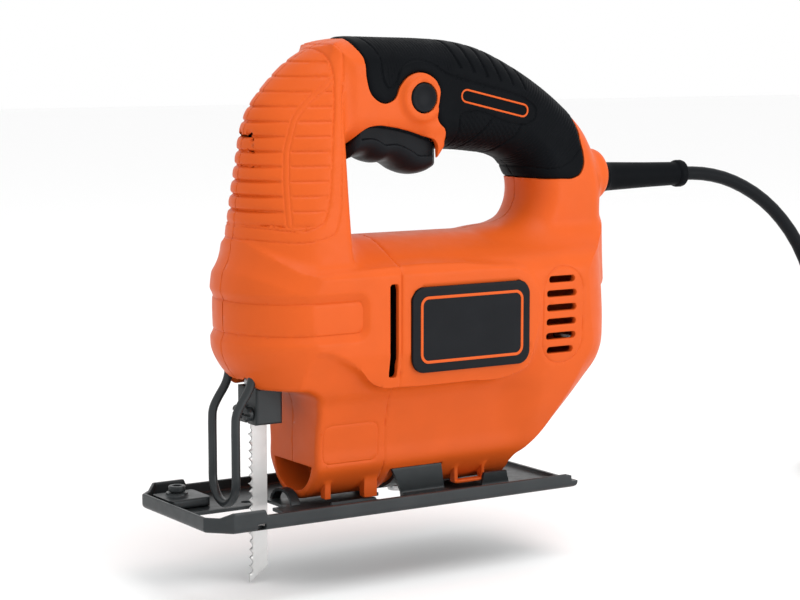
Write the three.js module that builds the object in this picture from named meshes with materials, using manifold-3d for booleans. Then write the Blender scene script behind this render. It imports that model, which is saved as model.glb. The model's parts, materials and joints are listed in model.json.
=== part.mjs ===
// Corded jigsaw with a two-finger trigger, a tilting pressed sole and a wire blade guard.
// Millimetres. X runs from the blade (-X) to the cord (+X), +Y is the tool's right side, +Z is up.
// The origin is on the sole's underside, in the middle of its length and width.

import * as THREE from 'three';
import { mergeVertices } from 'three/addons/utils/BufferGeometryUtils.js';
import Module from 'manifold-3d';

const wasm = await Module();
wasm.setup();

// ---- Driving dimensions ----

const GAP = 0.3;                 // clearance between neighbouring pieces
const WALL = 2.6;                // housing wall
const GRIP_SKIN = 2.4;           // thickness of the soft grip over the handle

const BODY_HALF_WIDTH = 34.5;
const BODY_TOP = 113;
const BODY_REAR = 121;
const NOSE_FRONT = -66.7;
const NOSE_UNDERSIDE = 52;
const CHUTE_FRONT = -33.5;
const HANDLE_HALF_WIDTH = 18.5;
const HANDLE_ROUNDING = 10;

const SADDLE_RADIUS = 20.2;      // round underside of the housing
const TILT_AXIS_Z = 23;          // centre of that round underside, and of the sole's tilt
const MAX_TILT = 45;             // degrees, towards the right side only

const SOLE_HALF_LENGTH = 90;
const SOLE_HALF_WIDTH = 36.5;
const SOLE_THICKNESS = 1.6;
const RIM_TOP = 6.3;
const RIM_RAISED_TOP = 8.5;
const SOLE_SCREW_X = 19;
const SADDLE = { low: 8, high: 30, inner: 18.4, outer: 19.9, halfAngle: 63 };
const FENCE_SCREW = [-78, 19];   // hand screw of the parallel fence's clamp

const BLADE_X = -50;
const BLADE_TIP_Z = -30;
const STROKE = 18;
const CLAMP_BOTTOM = 37;
const CLAMP_TOP = 51;
const PLUNGER_TOP = 138;

const MOTOR_Z = 77;
const MODULE_SIZE = 0.9;
const PINION_TEETH = 8;
const GEAR_TEETH = 44;
const GEAR_Z = MOTOR_Z + MODULE_SIZE * (PINION_TEETH + GEAR_TEETH) / 2;
const GEAR_FRONT = -40;
const GEAR_REAR = -33;
const CRANK_RADIUS = STROKE / 2;
const BEARING = { radius: 11, bore: 4, front: -25, width: 7 };
const REAR_BEARING = { radius: 9.5, bore: 3.5, front: 78, width: 6 };
const BUSHING = { front: -5.5, rear: 7.3, half: 9 };      // plunger guides, measured from the blade's centre
const BUSHING_HEIGHTS = [[71.2, 80], [120, 130]];

const CORD_DIAMETER = 6.4;
const CORD_EXIT_X = 178;
const CORD_EXIT_Z = 133;
const GROUND_Z = BLADE_TIP_Z - 1;      // the surface that the loose cord lies on
const COIL_CENTRE = [346, 20];
const COIL_RADIUS = 35;
const COIL_HALF_WIDTH = 1.5 * CORD_DIAMETER;
const COIL_HEIGHT = 3 * CORD_DIAMETER;

const TRIGGER_PIVOT = [-8, 162];
const TRIGGER_HALF_WIDTH = 13.5;
const TRIGGER_PIN_HALF = 17.5;
const LOCK_BUTTON = [19.9, 170.8];
const GUARD_WIRE = 3;

// ---- Materials ----

const finish = (color, roughness, metalness) =>
  new THREE.MeshStandardMaterial({ color, roughness, metalness });

const ORANGE = finish(0xf26a2e, 0.42, 0);
const RUBBER = finish(0x1e2124, 0.75, 0);
const BLACK_PLASTIC = finish(0x1b1d1f, 0.45, 0);
const DARK_STEEL = finish(0x3c4143, 0.4, 0.7);
const STEEL = finish(0xb9bcbe, 0.3, 0.9);
const BRIGHT_STEEL = finish(0xd9dadb, 0.25, 0.9);
const BRASS = finish(0xc29a4a, 0.35, 0.9);
const BRONZE = finish(0x8f6a3a, 0.5, 0.8);
const COPPER = finish(0xb4683a, 0.35, 0.8);
const CARBON = finish(0x2a2a2c, 0.8, 0.1);
const ALUMINIUM = finish(0xa9adb0, 0.4, 0.8);
const PVC = finish(0x17181a, 0.5, 0);

// ---- Solids from three.js geometry ----

// A closed geometry as a solid that can be joined and cut.
function solid(geometry) {
  const bare = geometry.clone();
  bare.deleteAttribute('normal');
  bare.deleteAttribute('uv');
  const merged = mergeVertices(bare, 1e-4);
  return new wasm.Manifold(new wasm.Mesh({
    numProp: 3,
    vertProperties: new Float32Array(merged.attributes.position.array),
    triVerts: new Uint32Array(merged.index.array),
  }));
}

// A solid as a geometry for a mesh.
function geometryOf(body) {
  const mesh = body.getMesh();
  const geometry = new THREE.BufferGeometry();
  geometry.setAttribute('position', new THREE.BufferAttribute(mesh.vertProperties, 3));
  geometry.setIndex(new THREE.BufferAttribute(mesh.triVerts, 1));
  geometry.computeVertexNormals();
  return geometry;
}

const join = (...parts) => parts.reduce((whole, part) => whole.add(part));
const cut = (body, ...tools) => tools.reduce((rest, tool) => rest.subtract(tool), body);

// Maps a shape's own axes to the object's: across, up, and along the extrusion.
const FRAMES = {
  x: new THREE.Matrix4().makeBasis(
    new THREE.Vector3(0, 1, 0), new THREE.Vector3(0, 0, 1), new THREE.Vector3(1, 0, 0)),
  y: new THREE.Matrix4().makeBasis(
    new THREE.Vector3(1, 0, 0), new THREE.Vector3(0, 0, 1), new THREE.Vector3(0, -1, 0)),
  z: new THREE.Matrix4(),
};
const DIRECTIONS = { x: 1, y: -1, z: 1 };

const shapeOf = (points) => new THREE.Shape(points.map(([u, v]) => new THREE.Vector2(u, v)));

// An outline extruded along an axis from low to high; a rounding rounds both end edges.
function prism(axis, outline, low, high, rounding = 0) {
  const shape = outline instanceof THREE.Shape ? outline : shapeOf(outline);
  const options = { depth: high - low - 2 * rounding, curveSegments: 8, bevelEnabled: rounding > 0 };
  if (rounding > 0) {
    Object.assign(options, {
      bevelThickness: rounding, bevelSize: rounding, bevelOffset: -rounding, bevelSegments: 2,
    });
  }
  const geometry = new THREE.ExtrudeGeometry(shape, options);
  const start = DIRECTIONS[axis] > 0 ? low + rounding : -high + rounding;
  geometry.translate(0, 0, start);
  geometry.applyMatrix4(FRAMES[axis]);
  return solid(geometry);
}

const box = (x0, x1, y0, y1, z0, z1) => {
  const geometry = new THREE.BoxGeometry(x1 - x0, y1 - y0, z1 - z0);
  geometry.translate((x0 + x1) / 2, (y0 + y1) / 2, (z0 + z1) / 2);
  return solid(geometry);
};

// A round rod along an axis; centre holds the two other coordinates in X, Y, Z order.
function rod(axis, radius, low, high, centre = [0, 0], segments = 20, endRadius = radius) {
  const geometry = new THREE.CylinderGeometry(endRadius, radius, high - low, segments);
  geometry.translate(0, (low + high) / 2, 0);
  if (axis === 'x') {
    geometry.rotateZ(-Math.PI / 2);
    geometry.translate(0, centre[0], centre[1]);
  } else if (axis === 'z') {
    geometry.rotateX(Math.PI / 2);
    geometry.translate(centre[0], centre[1], 0);
  } else {
    geometry.translate(centre[0], 0, centre[1]);
  }
  return solid(geometry);
}

// A turned piece: profile of [radius, distance] pairs about an axis.
function turned(axis, profile, segments = 24) {
  const points = profile.map(([radius, along]) => new THREE.Vector2(radius, along));
  const geometry = new THREE.LatheGeometry(points, segments);
  if (axis === 'x') geometry.rotateZ(-Math.PI / 2);
  if (axis === 'z') geometry.rotateX(Math.PI / 2);
  const body = solid(geometry);
  if (body.volume() > 0) return body;
  geometry.index.array.reverse();
  return solid(geometry);
}

// Moves each edge of an outline inwards by a distance, keeping its corners.
function inset(outline, distance) {
  const count = outline.length;
  const area = outline.reduce((sum, [u, v], i) => {
    const [un, vn] = outline[(i + 1) % count];
    return sum + u * vn - un * v;
  }, 0);
  const side = Math.sign(area);
  const edge = (i) => {
    const [u0, v0] = outline[i % count];
    const [u1, v1] = outline[(i + 1) % count];
    const length = Math.hypot(u1 - u0, v1 - v0);
    return { u: u0, v: v0, du: (u1 - u0) / length, dv: (v1 - v0) / length };
  };
  return outline.map((corner, i) => {
    const before = edge(i + count - 1);
    const after = edge(i);
    const turn = 1 + before.du * after.du + before.dv * after.dv;
    const reach = distance * side / turn;
    return [
      corner[0] - (before.dv + after.dv) * reach,
      corner[1] + (before.du + after.du) * reach,
    ];
  });
}

const mirrored = (half) =>
  [...half, ...half.filter(([u]) => u > 0.01).map(([u, v]) => [-u, v]).reverse()];

const arc = (u, v, ru, rv, fromDegrees, toDegrees, steps) =>
  Array.from({ length: steps + 1 }, (_, i) => {
    const angle = THREE.MathUtils.degToRad(fromDegrees + (toDegrees - fromDegrees) * i / steps);
    return [u + ru * Math.cos(angle), v + rv * Math.sin(angle)];
  });

function roundedRectangle(u0, u1, v0, v1, radius, steps = 2) {
  return [
    ...arc(u1 - radius, v0 + radius, radius, radius, -90, 0, steps),
    ...arc(u1 - radius, v1 - radius, radius, radius, 0, 90, steps),
    ...arc(u0 + radius, v1 - radius, radius, radius, 90, 180, steps),
    ...arc(u0 + radius, v0 + radius, radius, radius, 180, 270, steps),
  ];
}

// ---- Scene graph ----

const jigsaw = new THREE.Group();

function group(x, y, z) {
  const holder = new THREE.Group();
  holder.position.set(x, y, z);
  jigsaw.add(holder);
  return holder;
}

function add(parent, name, material, body) {
  const mesh = new THREE.Mesh(geometryOf(body), material);
  mesh.name = name;
  parent.add(mesh);
}

// ---- Housing outlines ----

// Section of the motor body, one half, from its top down to the round underside.
const BODY_SECTION = [
  [0, BODY_TOP], [10, 112], [17.6, 109.2], [25.4, 105.3], [32, 100.8], [BODY_HALF_WIDTH, 95],
  [BODY_HALF_WIDTH, 57], [33, 52.5], [27, 46.5], [22.4, 40], [20.8, 32], [SADDLE_RADIUS, TILT_AXIS_Z],
  ...arc(0, TILT_AXIS_Z, SADDLE_RADIUS, SADDLE_RADIUS, -18, -90, 4),
];

const BODY_SIDE = [
  [CHUTE_FRONT, 0], [70, 0], [76, 11], [84, 16.5], [93, 26], [108, 41.5], [117, 52], [120, 60],
  [BODY_REAR, 72], [BODY_REAR, 104], [119, 115], [-57, 115], [-62, 103], [NOSE_FRONT, 90],
  [NOSE_FRONT, 68], [-63, 58], [-57, NOSE_UNDERSIDE], [-43, NOSE_UNDERSIDE], [-37, 50], [CHUTE_FRONT, 43],
];

const BODY_PLAN = [
  ...arc(NOSE_FRONT + 32, 0, 32, BODY_HALF_WIDTH, 90, 270, 14),
  ...arc(BODY_REAR - 20, -BODY_HALF_WIDTH + 20, 20, 20, -90, 0, 4),
  ...arc(BODY_REAR - 20, BODY_HALF_WIDTH - 20, 20, 20, 0, 90, 4),
];

const COLUMN_SIDE = [
  [-3, 100], [-3, 112.5], [-11, 116.5], [-14.5, 125], [-14.5, 144], [-9, 150], [12, 150], [12, 195.4],
  [-8, 196], [-21, 193.5], [-34, 187.4], [-42, 181.7], [-49.4, 174], [-54.5, 165], [-57.3, 156],
  [-59, 137], [-60.2, 117], [-62, 103], [-62, 100],
];

const COLUMN_FRONT = mirrored([
  [29.5, 100], [29.5, 113], [26.5, 126], [23, 150], [20.5, 172], [17.5, 187], [10, 196.5],
]);

const COLUMN_PLAN = [
  ...arc(-30, 0, 32, 30, 90, 270, 12), [13, -30], [13, 30],
];

const HANDLE_SIDE = [
  [-20, 193.6], [-20, 150.2], [-9, 150.2], [30, 149], [43, 148.3], [57, 147], [68, 145], [76, 141],
  [80.6, 134], [81, 126], [77, 118.5], [70, 113.5], [58, 111], [52, 84], [BODY_REAR - 1, 84],
  [BODY_REAR - 0.5, 120], [124, 128], [124, 141], [117, 149], [111.8, 156.8], [99.3, 167.8], [84.4, 178],
  [70, 185.7], [56, 191.4], [44, 193.9], [28, 195], [10, 195.2], [-8, 196],
];

// The black soft grip: everything of the handle above and behind this line.
const GRIP_AREA = [
  [-11, 199], [-9, 190], [-7.4, 182], [-7, 177.6], [-4.3, 171.8], [2, 168.6],
  ...arc(LOCK_BUTTON[0], LOCK_BUTTON[1] + 0.5, 10.4, 10.4, 190, -35, 7),
  [30, 161], [31.5, 157], [31, 151], [29, 145], [50, 140], [70, 134.5], [84, 133], [112, 132.5],
  [120, 137], [123, 143], [122, 152], [106, 172], [80, 190], [50, 199],
];

// Arch over the trigger, open through both sides of the handle.
const TRIGGER_ARCH = [
  [-15, 140], [-12.2, 146], [-11.2, 149.5], [-8.4, 156.6], [-2, 160.2], [9, 160], [23.5, 156.2],
  [32.5, 152.8], [38.5, 147.8], [38.5, 140],
];

const motorBody = (thickness) => prism('y', inset(BODY_SIDE, thickness), -60, 60)
  .intersect(prism('x', inset(mirrored(BODY_SECTION), thickness), -90, 150))
  .intersect(prism('z', inset(BODY_PLAN, thickness), -20, 130));

const column = (thickness) => prism('y', inset(COLUMN_SIDE, thickness), -60, 60)
  .intersect(prism('x', inset(COLUMN_FRONT, thickness), -90, 40))
  .intersect(prism('z', inset(COLUMN_PLAN, thickness), 80, 210));

// Room for the trigger: behind the arch's edges, and round its arm and pivot.
const triggerSlot = () => {
  const half = TRIGGER_HALF_WIDTH + 2 * GAP;
  return join(box(-9.5, 39.5, -half, half, 144, 161), box(-13.2, -4.3, -half, half, 157, 168));
};

const handle = (thickness) => prism('y', inset(HANDLE_SIDE, thickness),
  -HANDLE_HALF_WIDTH + thickness, HANDLE_HALF_WIDTH - thickness, HANDLE_ROUNDING - thickness);

const HOUSING_SCREWS = [[-24, 170], [-24, 131], [-20, 34], [62, 26], [106, 62], [98, 120]];

const BADGE = { low: [4.3, 57], high: [64.3, 93], corner: 6, depth: 0.9 };

const badgeOutline = (margin) => roundedRectangle(
  BADGE.low[0] - margin, BADGE.high[0] + margin, BADGE.low[1] - margin, BADGE.high[1] + margin,
  BADGE.corner);

// ---- Housing ----

function innerRibs() {
  const motorRibs = [[28, 3], [47, 3]].map(([x, width]) => box(x, x + width, -40, 40, 30, 112));
  const bearingRib = box(REAR_BEARING.front, REAR_BEARING.front + REAR_BEARING.width, -40, 40, 20, 112);
  const plungerRib = box(-60, -42.7, -30, 30, 72.5, 79);
  const upperRib = box(-60, -42.7, -30, 30, 121, 129);
  const screwPosts = HOUSING_SCREWS.map((place) => rod('y', 4.2, -40, 40, place, 10));
  const footBlock = box(10, 30, -14, 14, 4, 18);
  const tilt = [0, TILT_AXIS_Z];
  const saddleBacking = rod('x', 18.8, SADDLE.low - 2, SADDLE.high + 2, tilt, 28)
    .subtract(rod('x', 15.6, SADDLE.low - 3, SADDLE.high + 3, tilt, 28));
  const pinPost = rod('y', 3.6, -40, 40, TRIGGER_PIVOT, 14);
  return join(...motorRibs, bearingRib, plungerRib, upperRib, footBlock, saddleBacking, pinPost, ...screwPosts);
}

function innerRoom() {
  return join(
    rod('x', 29.4, 7, 53, [0, MOTOR_Z], 26),
    rod('x', REAR_BEARING.radius + GAP, REAR_BEARING.front - 1, REAR_BEARING.front + 8, [0, MOTOR_Z]),
    ...BUSHING_HEIGHTS.map(([low, high]) => box(BLADE_X + BUSHING.front - GAP, BLADE_X + BUSHING.rear + GAP,
      -BUSHING.half - GAP, BUSHING.half + GAP, low - GAP, high + GAP)),
    rod('z', 2.8, -5, 11.7, [SOLE_SCREW_X, 0], 16),
    box(SOLE_SCREW_X - 4.3, SOLE_SCREW_X + 4.3, -4.3, 4.3, 11.7, 16.3),
  );
}

const VENT_SLOTS = Array.from({ length: 6 }, (_, i) => 61 + 6.2 * i);

function sideOpenings() {
  const exhaust = box(-6, -2.1, -40, 40, 56, 95);
  const intake = VENT_SLOTS.map((z) =>
    prism('y', roundedRectangle(74.8, 90.8, z - 1.4, z + 1.4, 1.3, 1), -40, 40));
  return join(exhaust, ...intake).subtract(box(-20, 110, -26, 26, 40, 110));
}

// Groove round the underside for the sole's saddle, and room for the low tabs beside it.
function saddleGroove() {
  const sector = [
    [0, TILT_AXIS_Z],
    ...arc(0, TILT_AXIS_Z, 40, 40, -92 - SADDLE.halfAngle, -84 + SADDLE.halfAngle + MAX_TILT, 10),
  ];
  return prism('x', sector, SADDLE.low - GAP, SADDLE.high + GAP)
    .subtract(rod('x', SADDLE.inner - GAP, SADDLE.low - 2, SADDLE.high + 2, [0, TILT_AXIS_Z], 28));
}

function dustChute() {
  const mouth = arc(0, TILT_AXIS_Z - 1, 15.5, 15.5, 190, 350, 8);
  return prism('x', mouth.map(([y, z]) => [y, Math.min(z, 18)]), CHUTE_FRONT - 1, CHUTE_FRONT + 14);
}

function housingShell() {
  const outer = join(motorBody(0), column(0), handle(0),
    rod('x', 8.3, 110, 133, [0, CORD_EXIT_Z + 1.5], 24, 7.4));
  const hollow = join(motorBody(WALL), column(WALL), handle(GRIP_SKIN + WALL));
  const shell = outer.subtract(hollow.subtract(innerRibs()));
  const gripRoom = handle(-1).subtract(handle(GRIP_SKIN + GAP))
    .intersect(prism('y', inset(GRIP_AREA, -GAP), -40, 40));
  const clampWell = box(-59, -40, -9.6, 9.6, 45, 71);
  const badgeRecess = (low, high) => prism('y', badgeOutline(GAP), low, high);
  return cut(shell,
    gripRoom,
    innerRoom(),
    clampWell,
    sideOpenings(),
    saddleGroove(),
    dustChute(),
    prism('y', TRIGGER_ARCH, -40, 40),
    triggerSlot(),
    rod('y', 6.8, -40, 0, LOCK_BUTTON, 24),
    rod('x', 5.6, 100, 134, [0, CORD_EXIT_Z]),
    badgeRecess(-40, -BODY_HALF_WIDTH + BADGE.depth),
    badgeRecess(BODY_HALF_WIDTH - BADGE.depth, 40),
    ...[-8.5, 8.5].map((y) => box(-59.4, -55.6, y - 1.9, y + 1.9, 48, 66)),
    ...[-8.5, 8.5].map((y) => box(-62, -55.6, y - 1.9, y + 1.9, 48, 56.4)),
    rod('y', 2.1, -TRIGGER_PIN_HALF - GAP, TRIGGER_PIN_HALF + GAP, TRIGGER_PIVOT, 14),
  );
}

// The boss round the lock button stands out of the left side only.
const lockRing = () => rod('y', 9.3, -HANDLE_HALF_WIDTH - 0.6, -HANDLE_HALF_WIDTH + 5, LOCK_BUTTON, 20)
  .subtract(rod('y', 6.8, -40, 0, LOCK_BUTTON, 24));

function screwHoles([x, z], headSide) {
  const shank = rod('y', 1.8, -13.5, 60, [x, z], 8);
  const head = rod('y', 3.8, headSide - 2.9, 60, [x, z], 12);
  return join(shank, head);
}

function buildHousing() {
  const holder = group(0, 0, 0);
  const shell = housingShell();
  const halfSpace = (low, high) => box(-100, 200, low, high, -20, 220);
  const holes = join(...HOUSING_SCREWS.map((place) => screwHoles(place, screwSeat(place))));
  const left = join(shell, lockRing()).intersect(halfSpace(-60, -GAP / 2)).subtract(holes);
  const right = shell.intersect(halfSpace(GAP / 2, 60)).subtract(holes);
  add(holder, 'housing_left', ORANGE, biggest(left));
  add(holder, 'housing_right', ORANGE, biggest(right));
  const grip = handle(0).subtract(handle(GRIP_SKIN)).intersect(prism('y', GRIP_AREA, -40, 40))
    .subtract(prism('y', inset(TRIGGER_ARCH, -2 * GAP), -40, 40))
    .subtract(triggerSlot())
    .subtract(rod('x', 9, 110, 134, [0, CORD_EXIT_Z + 1.5], 24));
  add(holder, 'grip_left', RUBBER, biggest(grip.intersect(halfSpace(-60, -GAP / 2))));
  add(holder, 'grip_right', RUBBER, biggest(grip.intersect(halfSpace(GAP / 2, 60))));
  const badge = (low) => prism('y', badgeOutline(0), low, low + 1);
  add(holder, 'badge_left', BLACK_PLASTIC, badge(-BODY_HALF_WIDTH - 0.5));
  add(holder, 'badge_right', BLACK_PLASTIC, badge(BODY_HALF_WIDTH - 0.5));
}

// Only the largest piece of a cut is kept; the rest are slivers.
function biggest(body) {
  return body.decompose().reduce((best, part) => (part.volume() > best.volume() ? part : best));
}

// Distance from the middle plane to where each housing screw's head sits.
function screwSeat([x, z]) {
  if (z > 140) return 17.5;
  if (z > 112) return 17;
  return z > 50 ? 31 : 18.5;
}

function buildHousingScrews() {
  const holder = group(0, 0, 0);
  HOUSING_SCREWS.forEach((place, i) => {
    const seat = screwSeat(place);
    const head = rod('y', 3.3, seat - 2.5, seat, place, 12);
    const slot = box(place[0] - 2.4, place[0] + 2.4, seat - 1, seat + 1, place[1] - 0.5, place[1] + 0.5);
    const shank = rod('y', 1.45, -12, seat - 2.4, place, 8);
    add(holder, `housing_screw_${i + 1}`, STEEL, cut(join(head, shank), slot));
  });
}

// ---- Blade, plunger and drive ----

function bladeSolid() {
  const teethFrom = BLADE_TIP_Z + 4;
  const teethTo = CLAMP_BOTTOM - 3;
  const pitch = 3.5;
  const teeth = [];
  for (let z = teethFrom; z + pitch <= teethTo; z += pitch) {
    teeth.push([-4.3, z], [-3, z + 0.9]);
  }
  const outline = [[4.3, -22], [4.3, 43.3], [-3, 43.3], ...teeth.reverse(), [-3.6, BLADE_TIP_Z]];
  return prism('y', outline, -0.6, 0.6);
}

function buildPlunger() {
  const holder = group(BLADE_X, 0, 0);
  add(holder, 'saw_blade', BRIGHT_STEEL, bladeSolid());
  const screwPlaces = [[4, 41.5], [-4, 41.5]];
  const block = cut(box(-4.5, 7, -7.5, 7.5, CLAMP_BOTTOM, CLAMP_TOP),
    box(-4.6, 4.6, -0.9, 0.9, 30, 43.6),
    box(-3.3, 3.3, -5.8, 5.8, 44.6, 60),
    ...screwPlaces.map((place) => rod('x', 1.9, -6, 4, place, 12)));
  add(holder, 'blade_clamp', DARK_STEEL, block);
  screwPlaces.forEach((place, i) => {
    const head = rod('x', 3, -8, -4.8, place, 16);
    const slot = box(-9, -6.9, place[0] - 3.5, place[0] + 3.5, place[1] - 0.5, place[1] + 0.5);
    const shank = rod('x', 1.6, -4.9, 3.6, place, 12);
    add(holder, `clamp_screw_${i + 1}`, DARK_STEEL, cut(head, slot).add(shank));
  });
  add(holder, 'plunger_bar', STEEL, box(-3, 3, -5.5, 5.5, 44.9, PLUNGER_TOP));
  const yokeZ = GEAR_Z - CRANK_RADIUS;
  const slotHalf = CRANK_RADIUS + 3.3;
  const yoke = prism('x', roundedRectangle(-16, 16, yokeZ - 8, yokeZ + 8, 4), 3.3, 6.8)
    .subtract(prism('x', roundedRectangle(-slotHalf, slotHalf, yokeZ - 3.3, yokeZ + 3.3, 3.2), 0, 9));
  add(holder, 'scotch_yoke', STEEL, yoke);
  buildBushings();
}

function buildBushings() {
  const holder = group(BLADE_X, 0, 0);
  ['lower_bushing', 'upper_bushing'].forEach((name, i) => {
    const [low, high] = BUSHING_HEIGHTS[i];
    const block = box(BUSHING.front, BUSHING.rear, -BUSHING.half, BUSHING.half, low, high);
    add(holder, name, BRONZE, block.subtract(box(-3.2, 3.2, -5.7, 5.7, low - 1, high + 1)));
  });
}

function toothedOutline(teeth, addendum, dedendum, slimness, offset) {
  const pitchRadius = MODULE_SIZE * teeth / 2;
  const step = 2 * Math.PI / teeth;
  const points = [];
  for (let i = 0; i < teeth; i += 1) {
    const centre = i * step + offset;
    const corner = (radius, share) => [
      radius * Math.cos(centre + share * step), radius * Math.sin(centre + share * step),
    ];
    points.push(corner(pitchRadius - dedendum, -slimness), corner(pitchRadius + addendum, -slimness / 2.4),
      corner(pitchRadius + addendum, slimness / 2.4), corner(pitchRadius - dedendum, slimness));
  }
  return points;
}

function buildGear() {
  const holder = group(0, 0, GEAR_Z);
  const rim = prism('x', toothedOutline(GEAR_TEETH, 0.75, 1, 0.3, -Math.PI / 2), GEAR_FRONT, GEAR_REAR);
  add(holder, 'drive_gear', STEEL, cut(rim, rod('x', 4.3, -60, 0)));
  add(holder, 'crank_pin', BRIGHT_STEEL,
    rod('x', 3, GEAR_FRONT - 2.7, GEAR_FRONT - GAP, [0, -CRANK_RADIUS], 18));
  add(group(0, 0, GEAR_Z), 'gear_axle', STEEL, rod('x', 4, GEAR_FRONT, -23, [0, 0], 20));
}

function buildBearings() {
  const holder = group(0, 0, MOTOR_Z);
  const gearZ = GEAR_Z - MOTOR_Z;
  const plate = prism('x', roundedRectangle(-21, 21, -15, 42, 10), -31, -27.6);
  const hub = rod('x', 14, -28, -17.5, [0, 0], 24);
  const axleBoss = rod('x', 7.5, -28, -22, [0, gearZ], 20);
  add(holder, 'bearing_plate', ALUMINIUM, cut(join(plate, hub, axleBoss),
    rod('x', BEARING.radius + GAP, BEARING.front - GAP, 0, [0, 0], 24),
    rod('x', 7, -40, 0, [0, 0], 20),
    rod('x', 4 + GAP, -40, 0, [0, gearZ], 20)));
  const race = ({ radius, bore, front, width }) => turned('x', [
    [bore + GAP, front], [radius, front], [radius, front + width], [bore + GAP, front + width],
    [bore + GAP, front],
  ], 18);
  add(holder, 'front_bearing', STEEL, race(BEARING));
  add(holder, 'rear_bearing', STEEL, race(REAR_BEARING));
}

function buildArmature() {
  const holder = group(0, 0, MOTOR_Z);
  const pinionTeeth = toothedOutline(PINION_TEETH, 0.7, 0.95, 0.29, Math.PI / 2 + Math.PI / PINION_TEETH);
  const pinion = prism('x', pinionTeeth, GEAR_FRONT, -32);
  const shaft = rod('x', 4, -32.2, 78, [0, 0], 20);
  const tail = rod('x', 3.5, 77, 85, [0, 0], 16);
  add(holder, 'armature_shaft', STEEL, join(pinion, shaft, tail));
  const ring = (radius, low, high) => turned('x', [
    [4 + GAP, low], [radius, low], [radius, high], [4 + GAP, high], [4 + GAP, low]], 20);
  const coreSlots = Array.from({ length: 12 }, (_, i) => {
    const angle = i * Math.PI / 6;
    return rod('x', 1.5, 0, 60, [17.9 * Math.cos(angle), 17.9 * Math.sin(angle)], 6);
  });
  add(holder, 'armature_core', DARK_STEEL, cut(ring(18.8, 10, 50), ...coreSlots));
  add(holder, 'armature_winding_front', COPPER, ring(15, 4, 10 - GAP));
  add(holder, 'armature_winding_rear', COPPER, ring(15, 50 + GAP, 57));
  add(holder, 'commutator', COPPER, ring(11, 58, 72));
  const blades = Array.from({ length: 10 }, (_, i) => {
    const geometry = new THREE.BoxGeometry(9, 1.4, 14);
    geometry.translate(-5.5, 0, 17.5);
    geometry.rotateX(i * Math.PI / 5);
    return solid(geometry);
  });
  add(holder, 'cooling_fan', BLACK_PLASTIC, join(ring(12, -12, 1), ring(25, -1, 1), ...blades));
}

function buildMotorField() {
  const holder = group(0, 0, MOTOR_Z);
  const poleHalfAngle = 50;
  const sector = (inner, outer, from, to) => [
    ...arc(0, 0, outer, outer, from, to, 10), ...arc(0, 0, inner, inner, to, from, 10),
  ];
  const yoke = turned('x', [[25.2, 8], [29, 8], [29, 52], [25.2, 52], [25.2, 8]], 28);
  const poles = [90, 270].map((middle) =>
    prism('x', sector(19.8, 26, middle - poleHalfAngle, middle + poleHalfAngle), 8, 52));
  add(holder, 'stator_core', DARK_STEEL, join(yoke, ...poles));
  [['field_coil_upper', 90], ['field_coil_lower', 270]].forEach(([name, middle]) => {
    const band = prism('x', sector(20.3, 24.8, middle - 74, middle + 74), 4.5, 55.5);
    const window = prism('x', sector(18, 30, middle - 53, middle + 53), 8 - GAP, 52 + GAP);
    add(holder, name, COPPER, band.subtract(window));
  });
  const baffle = turned('x', [[17, 2.2], [30, 2.2], [30, 3.9], [17, 3.9], [17, 2.2]], 24);
  add(holder, 'fan_baffle', BLACK_PLASTIC, baffle);
}

function buildBrushes() {
  const holder = group(65, 0, MOTOR_Z);
  [['left', -1], ['right', 1]].forEach(([side, sign]) => {
    const span = (x0, x1, near, far, z0, z1) =>
      box(x0, x1, Math.min(sign * near, sign * far), Math.max(sign * near, sign * far), z0, z1);
    add(holder, `brush_${side}`, CARBON, span(-4, 4, 11.4, 21, -2.7, 2.7));
    add(holder, `brush_holder_${side}`, BRASS,
      span(-5.3, 5.3, 13, 27, -4, 4).subtract(span(-4.3, 4.3, 12, 28, -3, 3)));
    const wire = sign > 0 ? [21.3, 26.5] : [-26.5, -21.3];
    add(holder, `brush_spring_${side}`, STEEL, rod('y', 2.4, wire[0], wire[1], [0, 0], 12));
  });
}

// ---- Trigger, lock button and switch ----

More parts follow.
